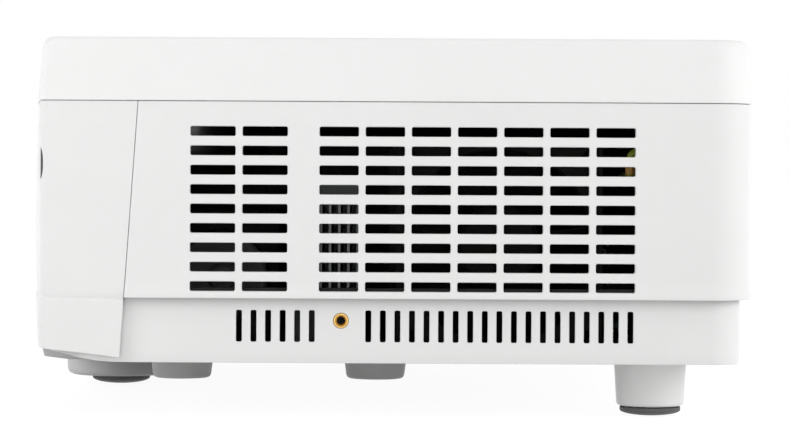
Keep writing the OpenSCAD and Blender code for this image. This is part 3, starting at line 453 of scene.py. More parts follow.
def rounded_rect(a, b, w, h, r, steps=5):
    points = []
    for quarter, (sa, sb) in enumerate(((1, 1), (-1, 1), (-1, -1), (1, -1))):
        for i in range(steps + 1):
            angle = math.pi / 2 * (quarter + i / steps)
            points.append((a + sa * (w / 2 - r) + r * math.cos(angle), b + sb * (h / 2 - r) + r * math.sin(angle)))
    return points


def turned(centre, axis, r, along, angle):
    """A point at a radius and an angle about an axis through centre."""
    a, b = r * math.cos(angle), r * math.sin(angle)
    return Vector(centre) + Vector(((along, a, b), (b, along, a), (a, b, along))[axis])


def rod(r, start, end):
    """Profile of a plain cylinder."""
    return [(0, start), (r, start), (r, end), (0, end)]


def lathe_into(bm, profile, centre, axis, count=96, ripple=None):
    """Adds a turned solid. profile is (radius, distance along the axis); radius 0 closes on the axis."""
    rings = []
    for r, along in profile:
        if r < 1e-6:
            rings.append([bm.verts.new(turned(centre, axis, 0, along, 0))])
            continue
        ring = []
        for i in range(count):
            angle = 2 * math.pi * i / count
            radius = r + (ripple(r, angle) if ripple else 0.0)
            ring.append(bm.verts.new(turned(centre, axis, radius, along, angle)))
        rings.append(ring)
    for a, b in zip(rings, rings[1:] + rings[:1]):
        if len(a) == 1 and len(b) == 1:
            continue
        for i in range(count):
            j = (i + 1) % count
            corners = [a[i % len(a)], a[j % len(a)], b[j % len(b)], b[i % len(b)]]
            bm.faces.new(list(dict.fromkeys(corners)))


def lathe(name, profile, centre, axis, material, node=None, body="case", count=96):
    bm = bmesh.new()
    lathe_into(bm, profile, centre, axis, count)
    return add_mesh(name, bm, [material], node, body)


def thread_into(bm, centre, axis, r, depth, pitch, start, end, count, per_turn):
    """Adds a rod with a right-handed thread cut into it."""
    rows = int((end - start) / pitch * per_turn)
    rings = []
    for row in range(rows + 1):
        along = start + (end - start) * row / rows
        ring = []
        for i in range(count):
            angle = 2 * math.pi * i / count
            phase = (along / pitch - angle / (2 * math.pi)) % 1.0
            groove = depth * (1 - abs(2 * phase - 1))
            ring.append(bm.verts.new(turned(centre, axis, r - groove, along, angle)))
        rings.append(ring)
    skin(bm, rings)


def tube_along(bm, path, r, count=16):
    """Adds a closed round tube along a path, its section carried without twist."""
    normal = None
    rings = []
    for i, point in enumerate(path):
        ahead = (path[min(i + 1, len(path) - 1)] - path[max(i - 1, 0)]).normalized()
        if normal is None:
            normal = ahead.orthogonal().normalized()
        normal = (normal - ahead * normal.dot(ahead)).normalized()
        side = ahead.cross(normal)
        rings.append([bm.verts.new(point + normal * r * math.cos(a) + side * r * math.sin(a))
                      for a in (2 * math.pi * k / count for k in range(count))])
    skin(bm, rings)


def combine(piece, tool, operation="DIFFERENCE"):
    """Cuts another object out of a piece, or joins it on, and removes that object."""
    boolean = piece.modifiers.new("cut", "BOOLEAN")
    boolean.operation = operation
    boolean.solver = "EXACT"
    boolean.object = tool
    apply_modifiers(piece)
    bpy.data.objects.remove(tool)


def carve(piece, cutter, operation="DIFFERENCE"):
    combine(piece, object_from("cutter", cutter), operation)


def paint(bm, first, index):
    """Gives the faces added since the first one a material."""
    bm.faces.ensure_lookup_table()
    for face in bm.faces[first:]:
        face.material_index = index


# ---------------------------------------------------------------- the case outline


def plan(inset, z=None):
    """The case seen from above, drawn in by inset. With z, the bowed front leans back as at that height."""
    x = HALF_W - inset
    rear = HALF_D - inset
    back_r = max(REAR_CORNER - inset, 1)
    bow_r = BOW_R - inset
    corner_y = BOW_Y - math.sqrt((bow_r - FRONT_CORNER) ** 2 - (x - FRONT_CORNER) ** 2)
    spread = math.degrees(math.asin((x - FRONT_CORNER) / (bow_r - FRONT_CORNER)))
    points = arc(0, BOW_Y, bow_r, -90 - spread, -90 + spread, 40)
    points += arc(x - FRONT_CORNER, corner_y, FRONT_CORNER, -90 + spread, 0, 6)[1:]
    points += arc(x - back_r, rear - back_r, back_r, 0, 90, 12)
    points += arc(back_r - x, rear - back_r, back_r, 90, 180, 12)
    points += arc(FRONT_CORNER - x, corner_y, FRONT_CORNER, 180, 270 - spread, 6)[:-1]
    if z is None:
        return points
    return [(px, lean_back(px, py, z)) for px, py in points]


def lean_back(x, y, z):
    """Moves a point of the bowed front back by the front's lean, fading out at the corners."""
    depth = y - bow_at(min(abs(x), HALF_W - 1))
    if depth > 12:
        return y
    return y + recede(z) * max(0.0, 1 - (abs(x) / HALF_W) ** 6)


def case_rings(bm, levels, leaning=True):
    """Outlines of the case at (inset, height) levels, as rings of vertices."""
    return [[bm.verts.new((x, y, z)) for x, y in plan(inset, z if leaning else None)] for inset, z in levels]


def outline_depth(x, y):
    """How far a point lies inside the case's outermost outline."""
    ax = abs(x)
    corner = HALF_W - REAR_CORNER, HALF_D - REAR_CORNER
    if ax > corner[0] and y > corner[1]:
        return REAR_CORNER - math.hypot(ax - corner[0], y - corner[1])
    return min(HALF_W - ax, HALF_D - y, y - bow_at(min(ax, HALF_W)))


def paint_inner_shade(piece, test):
    """Gives the faces whose centre passes the test a near-black colour: painted shade inside the white case."""
    piece.data.materials.append(INNER_SHADE)
    lining = len(piece.data.materials) - 1
    for face in piece.data.polygons:
        if test(*(face.center / MM)):
            face.material_index = lining


def inside_walls(x, y, z):
    return outline_depth(x, y) > CAP_LIP + WALL - 0.4


# ---------------------------------------------------------------- case mouldings

EDGE = 0.3
SEAM_GAP = 0.12
PAST = HALF_D + 30
ROUND_BUTTONS = ("power", "source", "menu", "enter")
ARROWS = {"up": (0, 1), "down": (0, -1), "left": (-1, 0), "right": (1, 0)}


def make_top_cover():
    side_top = CASE_TOP - CAP_ROUND
    drawn_in = CAP_DRAFT * (side_top - SEAM_Z) / (CASE_TOP - SEAM_Z)
    outer = [(0.0, SEAM_Z), (0.0, SEAM_Z + 0.4)]
    outer += [(drawn_in * t / 4, SEAM_Z + (side_top - SEAM_Z) * t / 4) for t in range(1, 4)]
    for i in range(9):
        turn = math.radians(90 * i / 8)
        outer.append((drawn_in + CAP_ROUND * (1 - math.cos(turn)), side_top + CAP_ROUND * math.sin(turn)))
    inner = [(WALL, SEAM_Z), (WALL + 0.8, side_top - WALL), (WALL + 3.5, CASE_TOP - WALL)]
    bm = bmesh.new()
    skin(bm, case_rings(bm, outer[::-1] + inner))
    cover = add_mesh("shell_top", bm, [CAP_LIT_WHITE], "top_cover")
    well_y = BARREL_FRONT + 16
    cut = prism(rounded_rect(LENS_X, well_y, 48, 26, 3), 2, SEAM_Z - 1, CASE_TOP + 1)
    mouth, size = middle("tray_front"), high("tray_front") - low("tray_front")
    prism_into(cut, rounded_rect(mouth.y, mouth.z, size.y + 0.6, size.z + 0.6, 0.8), 0, -HALF_W - 2, -HALF_W + 6)
    for name in ROUND_BUTTONS:
        x, y, _ = middle(name + "_button")
        prism_into(cut, circle(x, y, 6.25, 64), 2, CASE_TOP - 5, CASE_TOP + 1)
    for name, (across, _) in ARROWS.items():
        x, y, _ = middle(name + "_button")
        w, d = (7, 14) if across else (14, 7)
        prism_into(cut, rounded_rect(x, y, w + 0.5, d + 0.5, 2.2), 2, CASE_TOP - 5, CASE_TOP + 1)
    carve(cover, cut)
    round_edges(cover, EDGE)
    well = bmesh.new()
    z0, z1 = SEAM_Z + 6, CASE_TOP - WALL + 0.3
    outside, inside = rounded_rect(LENS_X, well_y, 52, 30, 4), rounded_rect(LENS_X, well_y, 48, 26, 3)
    skin(well, [[well.verts.new((x, y, z)) for x, y in outline]
                for outline, z in ((outside, z0), (outside, z1), (inside, z1), (inside, z0))], loop=True)
    round_edges(add_mesh("ring_well", well, [BLACK]), 0.3)


SLOT_ROWS, SLOT_H, SLOT_PITCH, SLOT_TOP = 9, 2.75, 5.58, 83.3
FINE = [(-10 + i * 13.27, 11.3) for i in range(7)]
BROAD = [(-46.3 + i * 15, 13.0) for i in range(2)]
SLITS = [-38.7 + i * 4.2 for i in range(6)] + [-1.4 + i * 4.2 for i in range(19)]
SLIT_W, SLIT_H, SLIT_Z = 1.65, 9.1, 27.2


def slots_into(cut, side, columns):
    x = side * (HALF_W - CAP_LIP - WALL / 2)
    for row in range(SLOT_ROWS):
        z = SLOT_TOP - row * SLOT_PITCH
        for y, w in columns:
            prism_into(cut, rounded_rect(y, z, w, SLOT_H, 0.35, 2), 0, x - 4, x + 4)


def beside_seam(side):
    """Everything before (-1) or behind (1) the front cover's seam, with half the seam's gap added."""
    shift = -side * SEAM_GAP / 2
    return across_case([(seam_y(0) + shift, 0), (seam_y(130) + shift, 130), (side * PAST, 130), (side * PAST, 0)])


def make_side_case():
    rim = 0.4
    top = SEAM_Z - SEAM_GAP
    bm = bmesh.new()
    levels = [(CAP_LIP - rim * share, STEP_Z + rise)
              for share, rise in ((1, 0), (1, 1.2), (0.6, 2.2), (0.15, 3.6), (0, 5))]
    levels += [(CAP_LIP, top), (CAP_LIP + WALL, top), (CAP_LIP + WALL, STEP_Z)]
    skin(bm, case_rings(bm, levels), loop=True)
    case = add_mesh("shell_side", bm, [WHITE], "side_case")
    carve(case, beside_seam(-1))
    cut = bmesh.new()
    slots_into(cut, 1, FINE + BROAD)
    slots_into(cut, -1, FINE)
    lo, hi = low("rear_panel"), high("rear_panel")
    box_into(cut, (lo.x - SEAT, HALF_D - 5, lo.z - SEAT), (hi.x + SEAT, HALF_D + 3, hi.z + SEAT))
    carve(case, cut)
    round_edges(case, EDGE)
    # The inner faces take painted shade, near-black.
    paint_inner_shade(case, inside_walls)


def make_front_cover():
    band = 0.48
    top, foot = SEAM_Z - SEAM_GAP, FLOOR_Z - 4
    bm = bmesh.new()
    levels = [(CAP_LIP - band, foot), (CAP_LIP - band, STEP_Z - 0.95), (CAP_LIP - band * 0.85, STEP_Z - 0.62),
              (CAP_LIP + 0.25, STEP_Z - 0.1), (CAP_LIP + 0.25, STEP_Z + 0.1), (CAP_LIP + 0.02, STEP_Z + 0.9)]
    levels += [(CAP_LIP, STEP_Z + 2.0 + (top - STEP_Z - 2.0) * t / 9) for t in range(10)]
    levels += [(CAP_LIP + WALL, top), (CAP_LIP + WALL, foot)]
    skin(bm, case_rings(bm, levels), loop=True)
    for vert in bm.verts:
        if abs(vert.co.z - STEP_Z) < 1.2 and vert.co.y < 0:
            vert.co.z -= 0.04 * min(max(vert.co.y + 96, 0.0), 24)
    cover = add_mesh("shell_front", bm, [WHITE], "front_cover")
    carve(cover, beside_seam(1))
    carve(cover, across_case(below(FRONT_EDGE)))
    cut = prism(circle(LENS_X, LENS_Z, 36.15, 96), 1, -HALF_D - 5, -HALF_D + 20)
    for i in range(3):
        prism_into(cut, circle(70 + 12 * i, 82, 1.6, 32), 1, -HALF_D - 5, -HALF_D + 20)
    window_into(cut, 0.1)
    carve(cover, cut)
    round_edges(cover, EDGE * 0.6, smooth=20.0)
    # The inner faces take painted shade, near-black.
    paint_inner_shade(cover, inside_walls)


def below(edge, reach=-20.0):
    """Closes an edge that runs along the case's depth into an outline of all that lies on one side of it."""
    return edge + [(edge[-1][0], reach), (edge[0][0], reach)]


WINDOW_R, WINDOW_Z, WINDOW_EDGE = 4.45, 73.8, 0.9
WINDOW_X = HALF_W - CAP_LIP - WINDOW_R


def window_into(bm, gap):
    """The remote-control window's space: a rounded slot across the corner, cut off behind by a shallow arc."""
    r = WINDOW_R + gap
    start = -HALF_D - 1
    end = bow_at(HALF_W - CAP_LIP - FRONT_CORNER) + CAP_LIP + WINDOW_EDGE + gap
    outline = arc(WINDOW_X, WINDOW_Z, r, 90, 270, 24) + [(HALF_W + 1, WINDOW_Z - r), (HALF_W + 1, WINDOW_Z + r)]
    layers = 9
    rings = []
    for i in range(layers):
        scale = math.sqrt(1 - (i / (layers - 0.6)) ** 2)
        y = end - WINDOW_EDGE * (1 - i / (layers - 1))
        rings.append([bm.verts.new((x, y, WINDOW_Z + (z - WINDOW_Z) * scale)) for x, z in outline])
    rings.insert(0, [bm.verts.new((x, start, z)) for x, z in outline])
    skin(bm, rings)


def make_window():
    bm = bmesh.new()
    outer, inner = CAP_LIP + 0.05, CAP_LIP + WALL
    skin(bm, case_rings(bm, [(outer, 60), (outer, 74), (outer, 88), (inner, 88), (inner, 60)]), loop=True)
    window = add_mesh("ir_window", bm, [WINDOW], "remote_window")
    cut = bmesh.new()
    window_into(cut, 0.0)
    carve(window, cut, "INTERSECT")
    round_edges(window, 0.12)


SCREWS = [(-140, -64), (140, -66), (-140, 4), (140, -34), (-60, 96), (40, 96)]
REAR_FOOT = (high("right_foot_pad").x - 9, middle("right_foot_pad").y)
FRONT_FOOT = (0, middle("front_foot_pad").y)
FEET = {"front": FRONT_FOOT, "left": (-REAR_FOOT[0], REAR_FOOT[1]), "right": REAR_FOOT}
MOUNTS = [(x, y) for x in (-78, 78) for y in (-60.25, 0.25)]
STUD_R, STUD_TOP = 4.0, 31.5
BOARD_SPOTS = [(-99, 47), (39, 47), (-99, 86.5), (39, 86.5)]
POST_TOP = 43.6


def lofted(name, levels):
    """A closed solid through upright outlines of the case at (inset, height) levels."""
    bm = bmesh.new()
    skin(bm, case_rings(bm, levels, leaning=False))
    return object_from(name, bm)


def make_bottom_case():
    bottom = LOW_EDGE[-1][1]
    bm = bmesh.new()
    levels = [(0.35, bottom - 1), (0.35, bottom), (0.12, bottom + 1.6), (0, bottom + 3.4), (0, STEP_Z + 0.1),
              (0.06, STEP_Z + 0.4), (0.06, TONGUE_TOP)]
    skin(bm, case_rings(bm, [(LOW_INSET + inset, z) for inset, z in levels], leaning=False))
    case = add_mesh("shell_bottom", bm, [WHITE], "bottom_case")
    carve(case, across_case(below(LOW_EDGE)))
    rim = lofted("rim", [(LOW_INSET + 2.2, bottom - 1), (LOW_INSET + 2.2, FLOOR_Z + 12)])
    carve(rim, across_case(below([(-140.0, underside_z(-140)), (KICK_Y, FLOOR_Z), (150.0, FLOOR_Z)], 60.0)))
    combine(case, rim)
    hollow = lofted("hollow", [(LOW_INSET + WALL, FLOOR_Z + WALL), (LOW_INSET + WALL, TONGUE_TOP + 2)])
    carve(hollow, across_case(below([(-PAST, underside_z(-PAST) + WALL), (KICK_Y, FLOOR_Z + WALL)])))
    combine(case, hollow)
    added = bmesh.new()
    socket = [(0, 2.9), (9.1, 2.9), (9.7, 3.15), (10.0, 3.8), (10.75, FLOOR_Z - 0.6), (11.3, FLOOR_Z + 0.2),
              (11.3, FLOOR_Z + 1), (6.5, FLOOR_Z + 1), (6.5, STUD_TOP + 2), (0, STUD_TOP + 2)]
    for side in ("left", "right"):
        lathe_into(added, socket, (*FEET[side], 0), 2, 72)
    lathe_into(added, rod(6.5, FLOOR_Z + 4, STUD_TOP + 2), (*FRONT_FOOT, 0), 2, 40)
    for spots, r, top in ((BOARD_SPOTS, 3.5, POST_TOP), (SCREWS, 4, FLOOR_Z + 16)):
        for x, y in spots:
            lathe_into(added, rod(r, FLOOR_Z + 1, top), (x, y, 0), 2, 32)
    carve(case, added, "UNION")
    cut = bmesh.new()
    for side in ("left", "right", "front"):
        prism_into(cut, circle(*FEET[side], STUD_R + 0.05), 2, -1, STUD_TOP + 1)
    for x, y in SCREWS:
        prism_into(cut, circle(x, y, 3.4, 40), 2, FLOOR_Z - 1, FLOOR_Z + 1.5)
        prism_into(cut, circle(x, y, 1.6, 24), 2, FLOOR_Z + 1.4, FLOOR_Z + 14)
    for x, y in MOUNTS:
        prism_into(cut, circle(x, y, 3.05, 32), 2, FLOOR_Z - 1, FLOOR_Z + WALL + 1)
    carve(case, cut)
    cut = bmesh.new()
    for side in (-1, 1):
        x = side * (HALF_W - LOW_INSET - WALL / 2)
        for y in SLITS:
            prism_into(cut, rounded_rect(y, SLIT_Z, SLIT_W, SLIT_H, 0.3, 2), 0, x - 4, x + 4)
    anchor = middle("cable_anchor")
    prism_into(cut, circle(anchor.y, anchor.z, 2.25, 40), 0, HALF_W - 12, HALF_W)
    prism_into(cut, circle(LENS_X, LENS_Z, 36.6, 96), 1, -HALF_D - 5, BARREL_FRONT + 2)
    carve(case, cut)
    round_edges(case, 0.25)
    # The tongue above the step and the faces inside the walls take painted shade, near-black.
    paint_inner_shade(case, lambda x, y, z: z > STEP_Z + 0.35 or (z > FLOOR_Z + 0.6 and outline_depth(x, y) > LOW_INSET + 0.6))


def make_cover_posts():
    """Posts under the top cover that hold the disc drive and the keypad board."""
    bm = bmesh.new()
    under = CASE_TOP - WALL + 0.3
    drive, drive_top = middle("drive_case"), high("drive_case").z + 0.3
    keypad, keypad_top = middle("keypad_board"), high("keypad_board").z - 2.6 + 0.3
    for i in (-1, 1):
        for j in (-1, 1):
            lathe_into(bm, rod(5, drive_top, under), (drive.x + i * 45, drive.y + j * 45, 0), 2, 32)
            lathe_into(bm, rod(2.5, keypad_top, under), (keypad.x + i * 32, keypad.y + j * 46, 0), 2, 24)
    add_mesh("cover_posts", bm, [WHITE])


# ---------------------------------------------------------------- feet and fixings


def make_feet():
    for side, (x, y) in FEET.items():
        node = side + "_foot_pad"
        r = (high(node).x - low(node).x) / 2
        top = high(node).z
        dome = top - 0.75
        profile = [(0, 0)]
        for step in range(1, 13):
            angle = step / 12 * math.pi / 2
            profile.append((r * math.sin(angle), dome * (1 - math.cos(angle))))
        profile += [(r, top + 0.1), (r - 0.15, top + 0.25), (2.05, top + 0.25), (2.05, top / 2), (0, top / 2)]
        lathe(node + "_dome", profile, (x, y, 0), 2, RUBBER, node, count=72)
        bm = bmesh.new()
        thread_into(bm, (x, y, 0), 2, STUD_R, 0.35, 1.25, top, STUD_TOP, 36, 8)
        pin = [(0, top / 2), (1.9, top / 2), (2.0, top / 2 + 0.1), (2.0, top + 0.5), (0, top + 0.5)]
        lathe_into(bm, pin, (x, y, 0), 2, 24)
        add_mesh(side + "_foot_thread", bm, [STEEL], side + "_foot_stud", smooth=60)
    soften("front_foot_housing", 0.45, 3)


def knurl(r, angle):
    """Every second of 48 flutes round an insert."""
    return -0.12 if r > 2.9 and int(angle / (2 * math.pi) * 48) % 2 else 0.0


def make_fixings():
    bosses, inserts, heads, cut = (bmesh.new() for _ in range(4))
    tip, deck = FLOOR_Z - 10.2, FLOOR_Z + WALL - 0.3
    boss = [(3.02, tip), (8.0, tip), (8.7, tip + 0.3), (9.1, tip + 1.1), (10.2, FLOOR_Z - 0.1), (3.02, FLOOR_Z - 0.1)]
    insert = [(2.0, tip + 0.3), (2.3, tip), (3.0, tip), (3.0, deck), (2.0, deck)]
    for x, y in MOUNTS:
        lathe_into(bosses, boss, (x, y, 0), 2, 72)
        lathe_into(inserts, insert, (x, y, 0), 2, 48, knurl)
    add_mesh("mount_bosses", bosses, [GREY], "ceiling_bosses")
    add_mesh("mount_inserts", inserts, [BRASS], "ceiling_inserts", smooth=50)
    screw = [(r, FLOOR_Z + rise) for r, rise in ((0, 0.25), (2.3, 0.1), (2.9, 0.3), (3.2, 0.7), (3.2, 1.4), (1.5, 1.4),
                                                 (1.5, 13), (0, 13))]
    arm, half = 1.7, 0.35
    plus = [(-arm, -half), (-half, -half), (-half, -arm), (half, -arm), (half, -half), (arm, -half),
            (arm, half), (half, half), (half, arm), (-half, arm), (-half, half), (-arm, half)]
    for x, y in SCREWS:
        lathe_into(heads, screw, (x, y, 0), 2, 40)
        prism_into(cut, [(x + a, y + b) for a, b in plus], 2, FLOOR_Z - 1, FLOOR_Z + 1)
    screws = add_mesh("screw_heads", heads, [STEEL], "case_screws")
    carve(screws, cut)
    shade(screws.data, 35)
    _, y, z = middle("cable_anchor")
    start, end = low("cable_anchor").x, high("cable_anchor").x
    profile = [(1.45, start)]
    along = start
    while along < end - 1.0:
        profile += [(1.25, along + 0.15), (1.4, along + 0.4)]
        along += 0.5
    profile += [(1.25, end - 0.5), (1.72, end), (2.05, end), (2.2, end - 0.15), (2.2, start)]
    lathe("anchor_insert", profile, (0, y, z), 0, BRASS, "cable_anchor", count=64)


# ---------------------------------------------------------------- lens and light


def lens_profile(centre, r, thick, steps=14):
    """A double-convex element's half outline, as (radius, distance along the axis)."""
    ball = (r * r + thick * thick / 4) / thick
    rim = r - 0.5
    front, back = [], []
    for step in range(steps + 1):
        a = rim * step / steps
        bulge = thick / 2 - ball + math.sqrt(ball * ball - a * a)
        front.append((a, centre - bulge))
        back.append((a, centre + bulge))
    return front + back[::-1]


def grip(r, angle):
    """Grooves round a ring's outer face."""
    return -0.45 if r > 28.9 and int(angle / (2 * math.pi) * 144) % 3 == 0 else 0.0


def make_lens():
    front, back = low("lens_barrel").y, high("lens_barrel").y
    centre = (LENS_X, 0, LENS_Z)
    bore, outer = 21.0, 25.0
    profile = [(bore, back), (bore, front + 17)]
    for ridge in range(3):
        at = front + 16 - ridge * 1.2
        profile += [(bore, at), (bore - 0.4, at - 0.3), (bore, at - 0.9)]
    profile += [(bore, front + 2.2), (bore + 0.6, front + 1.6), (bore + 0.6, front + 0.6), (bore + 1.2, front),
                (outer + 2.4, front), (outer + 3, front + 0.6), (outer + 3, front + 2.9), (outer + 2.4, front + 3.5),
                (outer, front + 3.5), (outer, back - 0.4), (outer - 0.4, back)]
    lathe("barrel_tube", profile, centre, 1, BLACK, "lens_barrel", count=128)
    bm = bmesh.new()
    lathe_into(bm, lens_profile(front + 8, bore + 0.45, 10), centre, 1)
    lathe_into(bm, lens_profile(back - 8, bore + 0.45, 8), centre, 1)
    add_mesh("lens_elements", bm, [GLASS], "lens_glass", smooth=40)
    for body in ("focus", "zoom"):
        node = body + "_ring"
        start, end, top = low(node).y, high(node).y, high(node).z
        bm = bmesh.new()
        lathe_into(bm, [(25.05, start), (28.2, start), (28.6, start + 0.8), (29, start + 1.1), (29, end - 1.1),
                        (28.6, end - 0.8), (28.2, end), (25.05, end)], centre, 1, 144, grip)
        add_mesh(node + "_grip", bm, [BLACK], node, smooth=30)
        tab = bmesh.new()
        box_into(tab, (LENS_X - 2.5, start, LENS_Z + 27), (LENS_X + 2.5, end, top))
        for rib in (-1.5, 0, 1.5):
            x = LENS_X + rib
            box_into(tab, (x - 0.3, start + 0.6, top - 5), (x + 0.3, end - 0.6, top))
        round_edges(add_mesh(node + "_tab", tab, [BLACK], None, body), 0.35)
    x, y, z = middle("colour_wheel")
    centre = (0, y, z)
    lathe("wheel_disc", [(6.5, x - 0.5), (20, x - 0.5), (20, x + 0.5), (6.5, x + 0.5)],
          centre, 0, FILTERS, "colour_wheel")
    lathe("wheel_hub", [(1.55, x - 2), (6.6, x - 2), (7, x - 1.6), (7, x + 1.6), (6.6, x + 2), (1.55, x + 2)],
          centre, 0, ALUMINIUM, None, "wheel", 64)
    start, end = low("wheel_motor").x, high("wheel_motor").x
    lathe("motor_can", [(0, start), (1.4, start), (1.5, start + 0.1), (1.5, end - 8), (3.2, end - 8), (3.2, end - 7.6),
                        (9.6, end - 7.6), (10, end - 7.2), (10, end), (0, end)],
          centre, 0, STEEL, "wheel_motor", count=64)
    # The light engine takes the darkened cast, painted shade.
    for node in ("optical_engine", "light_module"):
        soften(node, 0.8, 3, CAST_SHADED)
    soften("imager_board", 0.15)
    soften("imager_heat_sink", 0.12)
    # The fins take the darkened metal, painted shade.
    soften("side_heat_sink", 0.1, material=FINS_SHADED)
    soften("heat_pipes", 0.3)
    lean_mesh(soften("lens_bezel", 0.25))
    lean_mesh(soften("status_lights", 0.2))


def lean_mesh(piece):
    """Sets a piece of the front back with the front's lean."""
    for vertex in piece.data.vertices:
        x, y, z = vertex.co / MM
        vertex.co.y = lean_back(x, y, z) * MM


def make_fan(side):
    """A frame with rounded corners and a rotor whose blades curve and twist."""
    soften(side + "_fan_frame", 0.5, 3, MATT)
    mid_x, y, z = middle(side + "_fan_frame")
    start, end = mid_x - 7.0, mid_x + 8.0
    bm = bmesh.new()
    lathe_into(bm, [(1.55, start), (11.4, start), (12, start + 0.6), (12, end - 1.2), (10.8, end), (4, end),
                    (4, end - 0.3), (1.55, end - 0.3)], (0, y, z), 0, 72)
    tip, root = 26.7, 11.6
    steps, blades = 8, 7
    for blade in range(blades):
        base = 2 * math.pi * blade / blades
        sheets = []
        for face in (-1, 1):
            rows = []
            for i in range(steps + 1):
                share = i / steps
                r = root + (tip - root) * share
                pitch = math.radians(46 - 14 * share)
                row = []
                for k in range(steps + 1):
                    u = -1 + 2 * k / steps
                    chord = 6.6 * u
                    edge = 0.62 * math.sqrt(max(0.0, 1 - u * u)) + 0.12
                    x = mid_x + 0.5 + chord * math.cos(pitch)
                    across = chord * math.sin(pitch) + 1.2 * (1 - u * u) + 2.5 * share**2
                    across += face * edge
                    angle = base + across / r
                    row.append(bm.verts.new((x, y + r * math.cos(angle), z + r * math.sin(angle))))
                rows.append(row)
            sheets.append(rows)
        near, far = sheets
        for rows, flip in ((near, False), (far, True)):
            for i in range(steps):
                for k in range(steps):
                    quad = (rows[i][k], rows[i + 1][k], rows[i + 1][k + 1], rows[i][k + 1])
                    bm.faces.new(quad[::-1] if flip else quad)
        for i in range(steps):
            for k in (0, steps):
                bm.faces.new((near[i][k], near[i + 1][k], far[i + 1][k], far[i][k]))
                bm.faces.new((near[k][i], near[k][i + 1], far[k][i + 1], far[k][i]))
    add_mesh(side + "_fan_rotor_blades", bm, [MATT], side + "_fan_rotor", smooth=40)


# ---------------------------------------------------------------- electronics

BOARD_T = 1.6
CHIP_X = (-86, -50, 0)
CAN_SPOTS = [(x, y) for x in (-22, 28) for y in (50, 64)]


def scatter(name, region, z, count, seed, avoid):
    """Small surface-mount parts on a board, as one piece: dark chips, pale capacitors and steel ends."""
    rng = random.Random(seed)
    bm = bmesh.new()
    placed = []
    tries = 0
    while len(placed) < count and tries < count * 30:
        tries += 1
        w, d, h = rng.choice(((3.2, 1.6, 0.9), (2.0, 1.2, 0.6), (5.0, 4.0, 1.2), (1.6, 3.2, 0.9), (7.0, 5.0, 1.4)))
        x = rng.uniform(region[0][0] + w, region[1][0] - w)
        y = rng.uniform(region[0][1] + d, region[1][1] - d)
        if any(abs(x - a[0]) < (w + a[2]) / 2 + 0.8 and abs(y - a[1]) < (d + a[3]) / 2 + 0.8 for a in placed + avoid):
            continue
        placed.append((x, y, w, d))
        first = len(bm.faces)
        box_into(bm, (x - w / 2, y - d / 2, z - 0.1), (x + w / 2, y + d / 2, z + h))
        paint(bm, first, 0 if w * d > 12 else rng.choice((0, 1)))
        if w * d > 6:
            continue
        half_x, half_y = (0.25, d / 2 + 0.03) if w > d else (w / 2 + 0.03, 0.25)
        for end in (-1, 1):
            first = len(bm.faces)
            cx, cy = (x + end * w * 0.5, y) if w > d else (x, y + end * d * 0.5)
            box_into(bm, (cx - half_x, cy - half_y, z - 0.1), (cx + half_x, cy + half_y, z + h + 0.03))
            paint(bm, first, 2)
    add_mesh(name, bm, [CHIP, AMBER, STEEL])


def cans(name, spots, z, r, h):
    """Electrolytic capacitors: sleeved cans with a crimp and a metal top."""
    bm = bmesh.new()
    for x, y in spots:
        lathe_into(bm, [(0, z), (r, z), (r, z + 1.2), (r - 0.3, z + 1.6), (r, z + 2.0), (r, z + h - 0.5),
                        (r - 0.5, z + h), (0, z + h)], (x, y, 0), 2, 36)
    for face in bm.faces:
        face.material_index = 1 if face.calc_center_median().z > z + h - 0.3 else 0
    add_mesh(name, bm, [BLACK, ALUMINIUM])


def make_main_board():
    lo, hi = low("main_board"), high("main_board")
    top = lo.z + BOARD_T
    box_piece("board_slab", [(lo, (hi.x, hi.y, top))], BOARD, "main_board", width=0.12)
    chips = [((x, 52, top - 0.1), (x + 22, 74, top + 2.5)) for x in CHIP_X]
    box_piece("board_chips", chips, CHIP, width=0.3)
    cans("board_cans", CAN_SPOTS, top - 0.1, 4, 9.9)
    avoid = [(x + 11, 63, 22, 22) for x in CHIP_X] + [(x, y, 9, 9) for x, y in CAN_SPOTS + BOARD_SPOTS]
    scatter("board_parts", ((lo.x + 2, lo.y + 2), (hi.x - 2, 90)), top, 90, 11, avoid)


def make_keypad_board():
    lo, hi = low("keypad_board"), high("keypad_board")
    top = lo.z + BOARD_T
    box_piece("keypad_slab", [(lo, (hi.x, hi.y, top))], BOARD, "keypad_board", width=0.12)
    bm = bmesh.new()
    for name in (*ROUND_BUTTONS, *ARROWS):
        x, y, _ = middle(name + "_button")
        box_into(bm, (x - 2.9, y - 2.9, top - 0.1), (x + 2.9, y + 2.9, top + 1.9))
        lathe_into(bm, [(0, top + 1.8), (1.7, top + 1.8), (1.7, hi.z - 0.1), (1.6, hi.z), (0, hi.z)], (x, y, 0), 2, 24)
    round_edges(add_mesh("keypad_switches", bm, [BLACK]), 0.12)


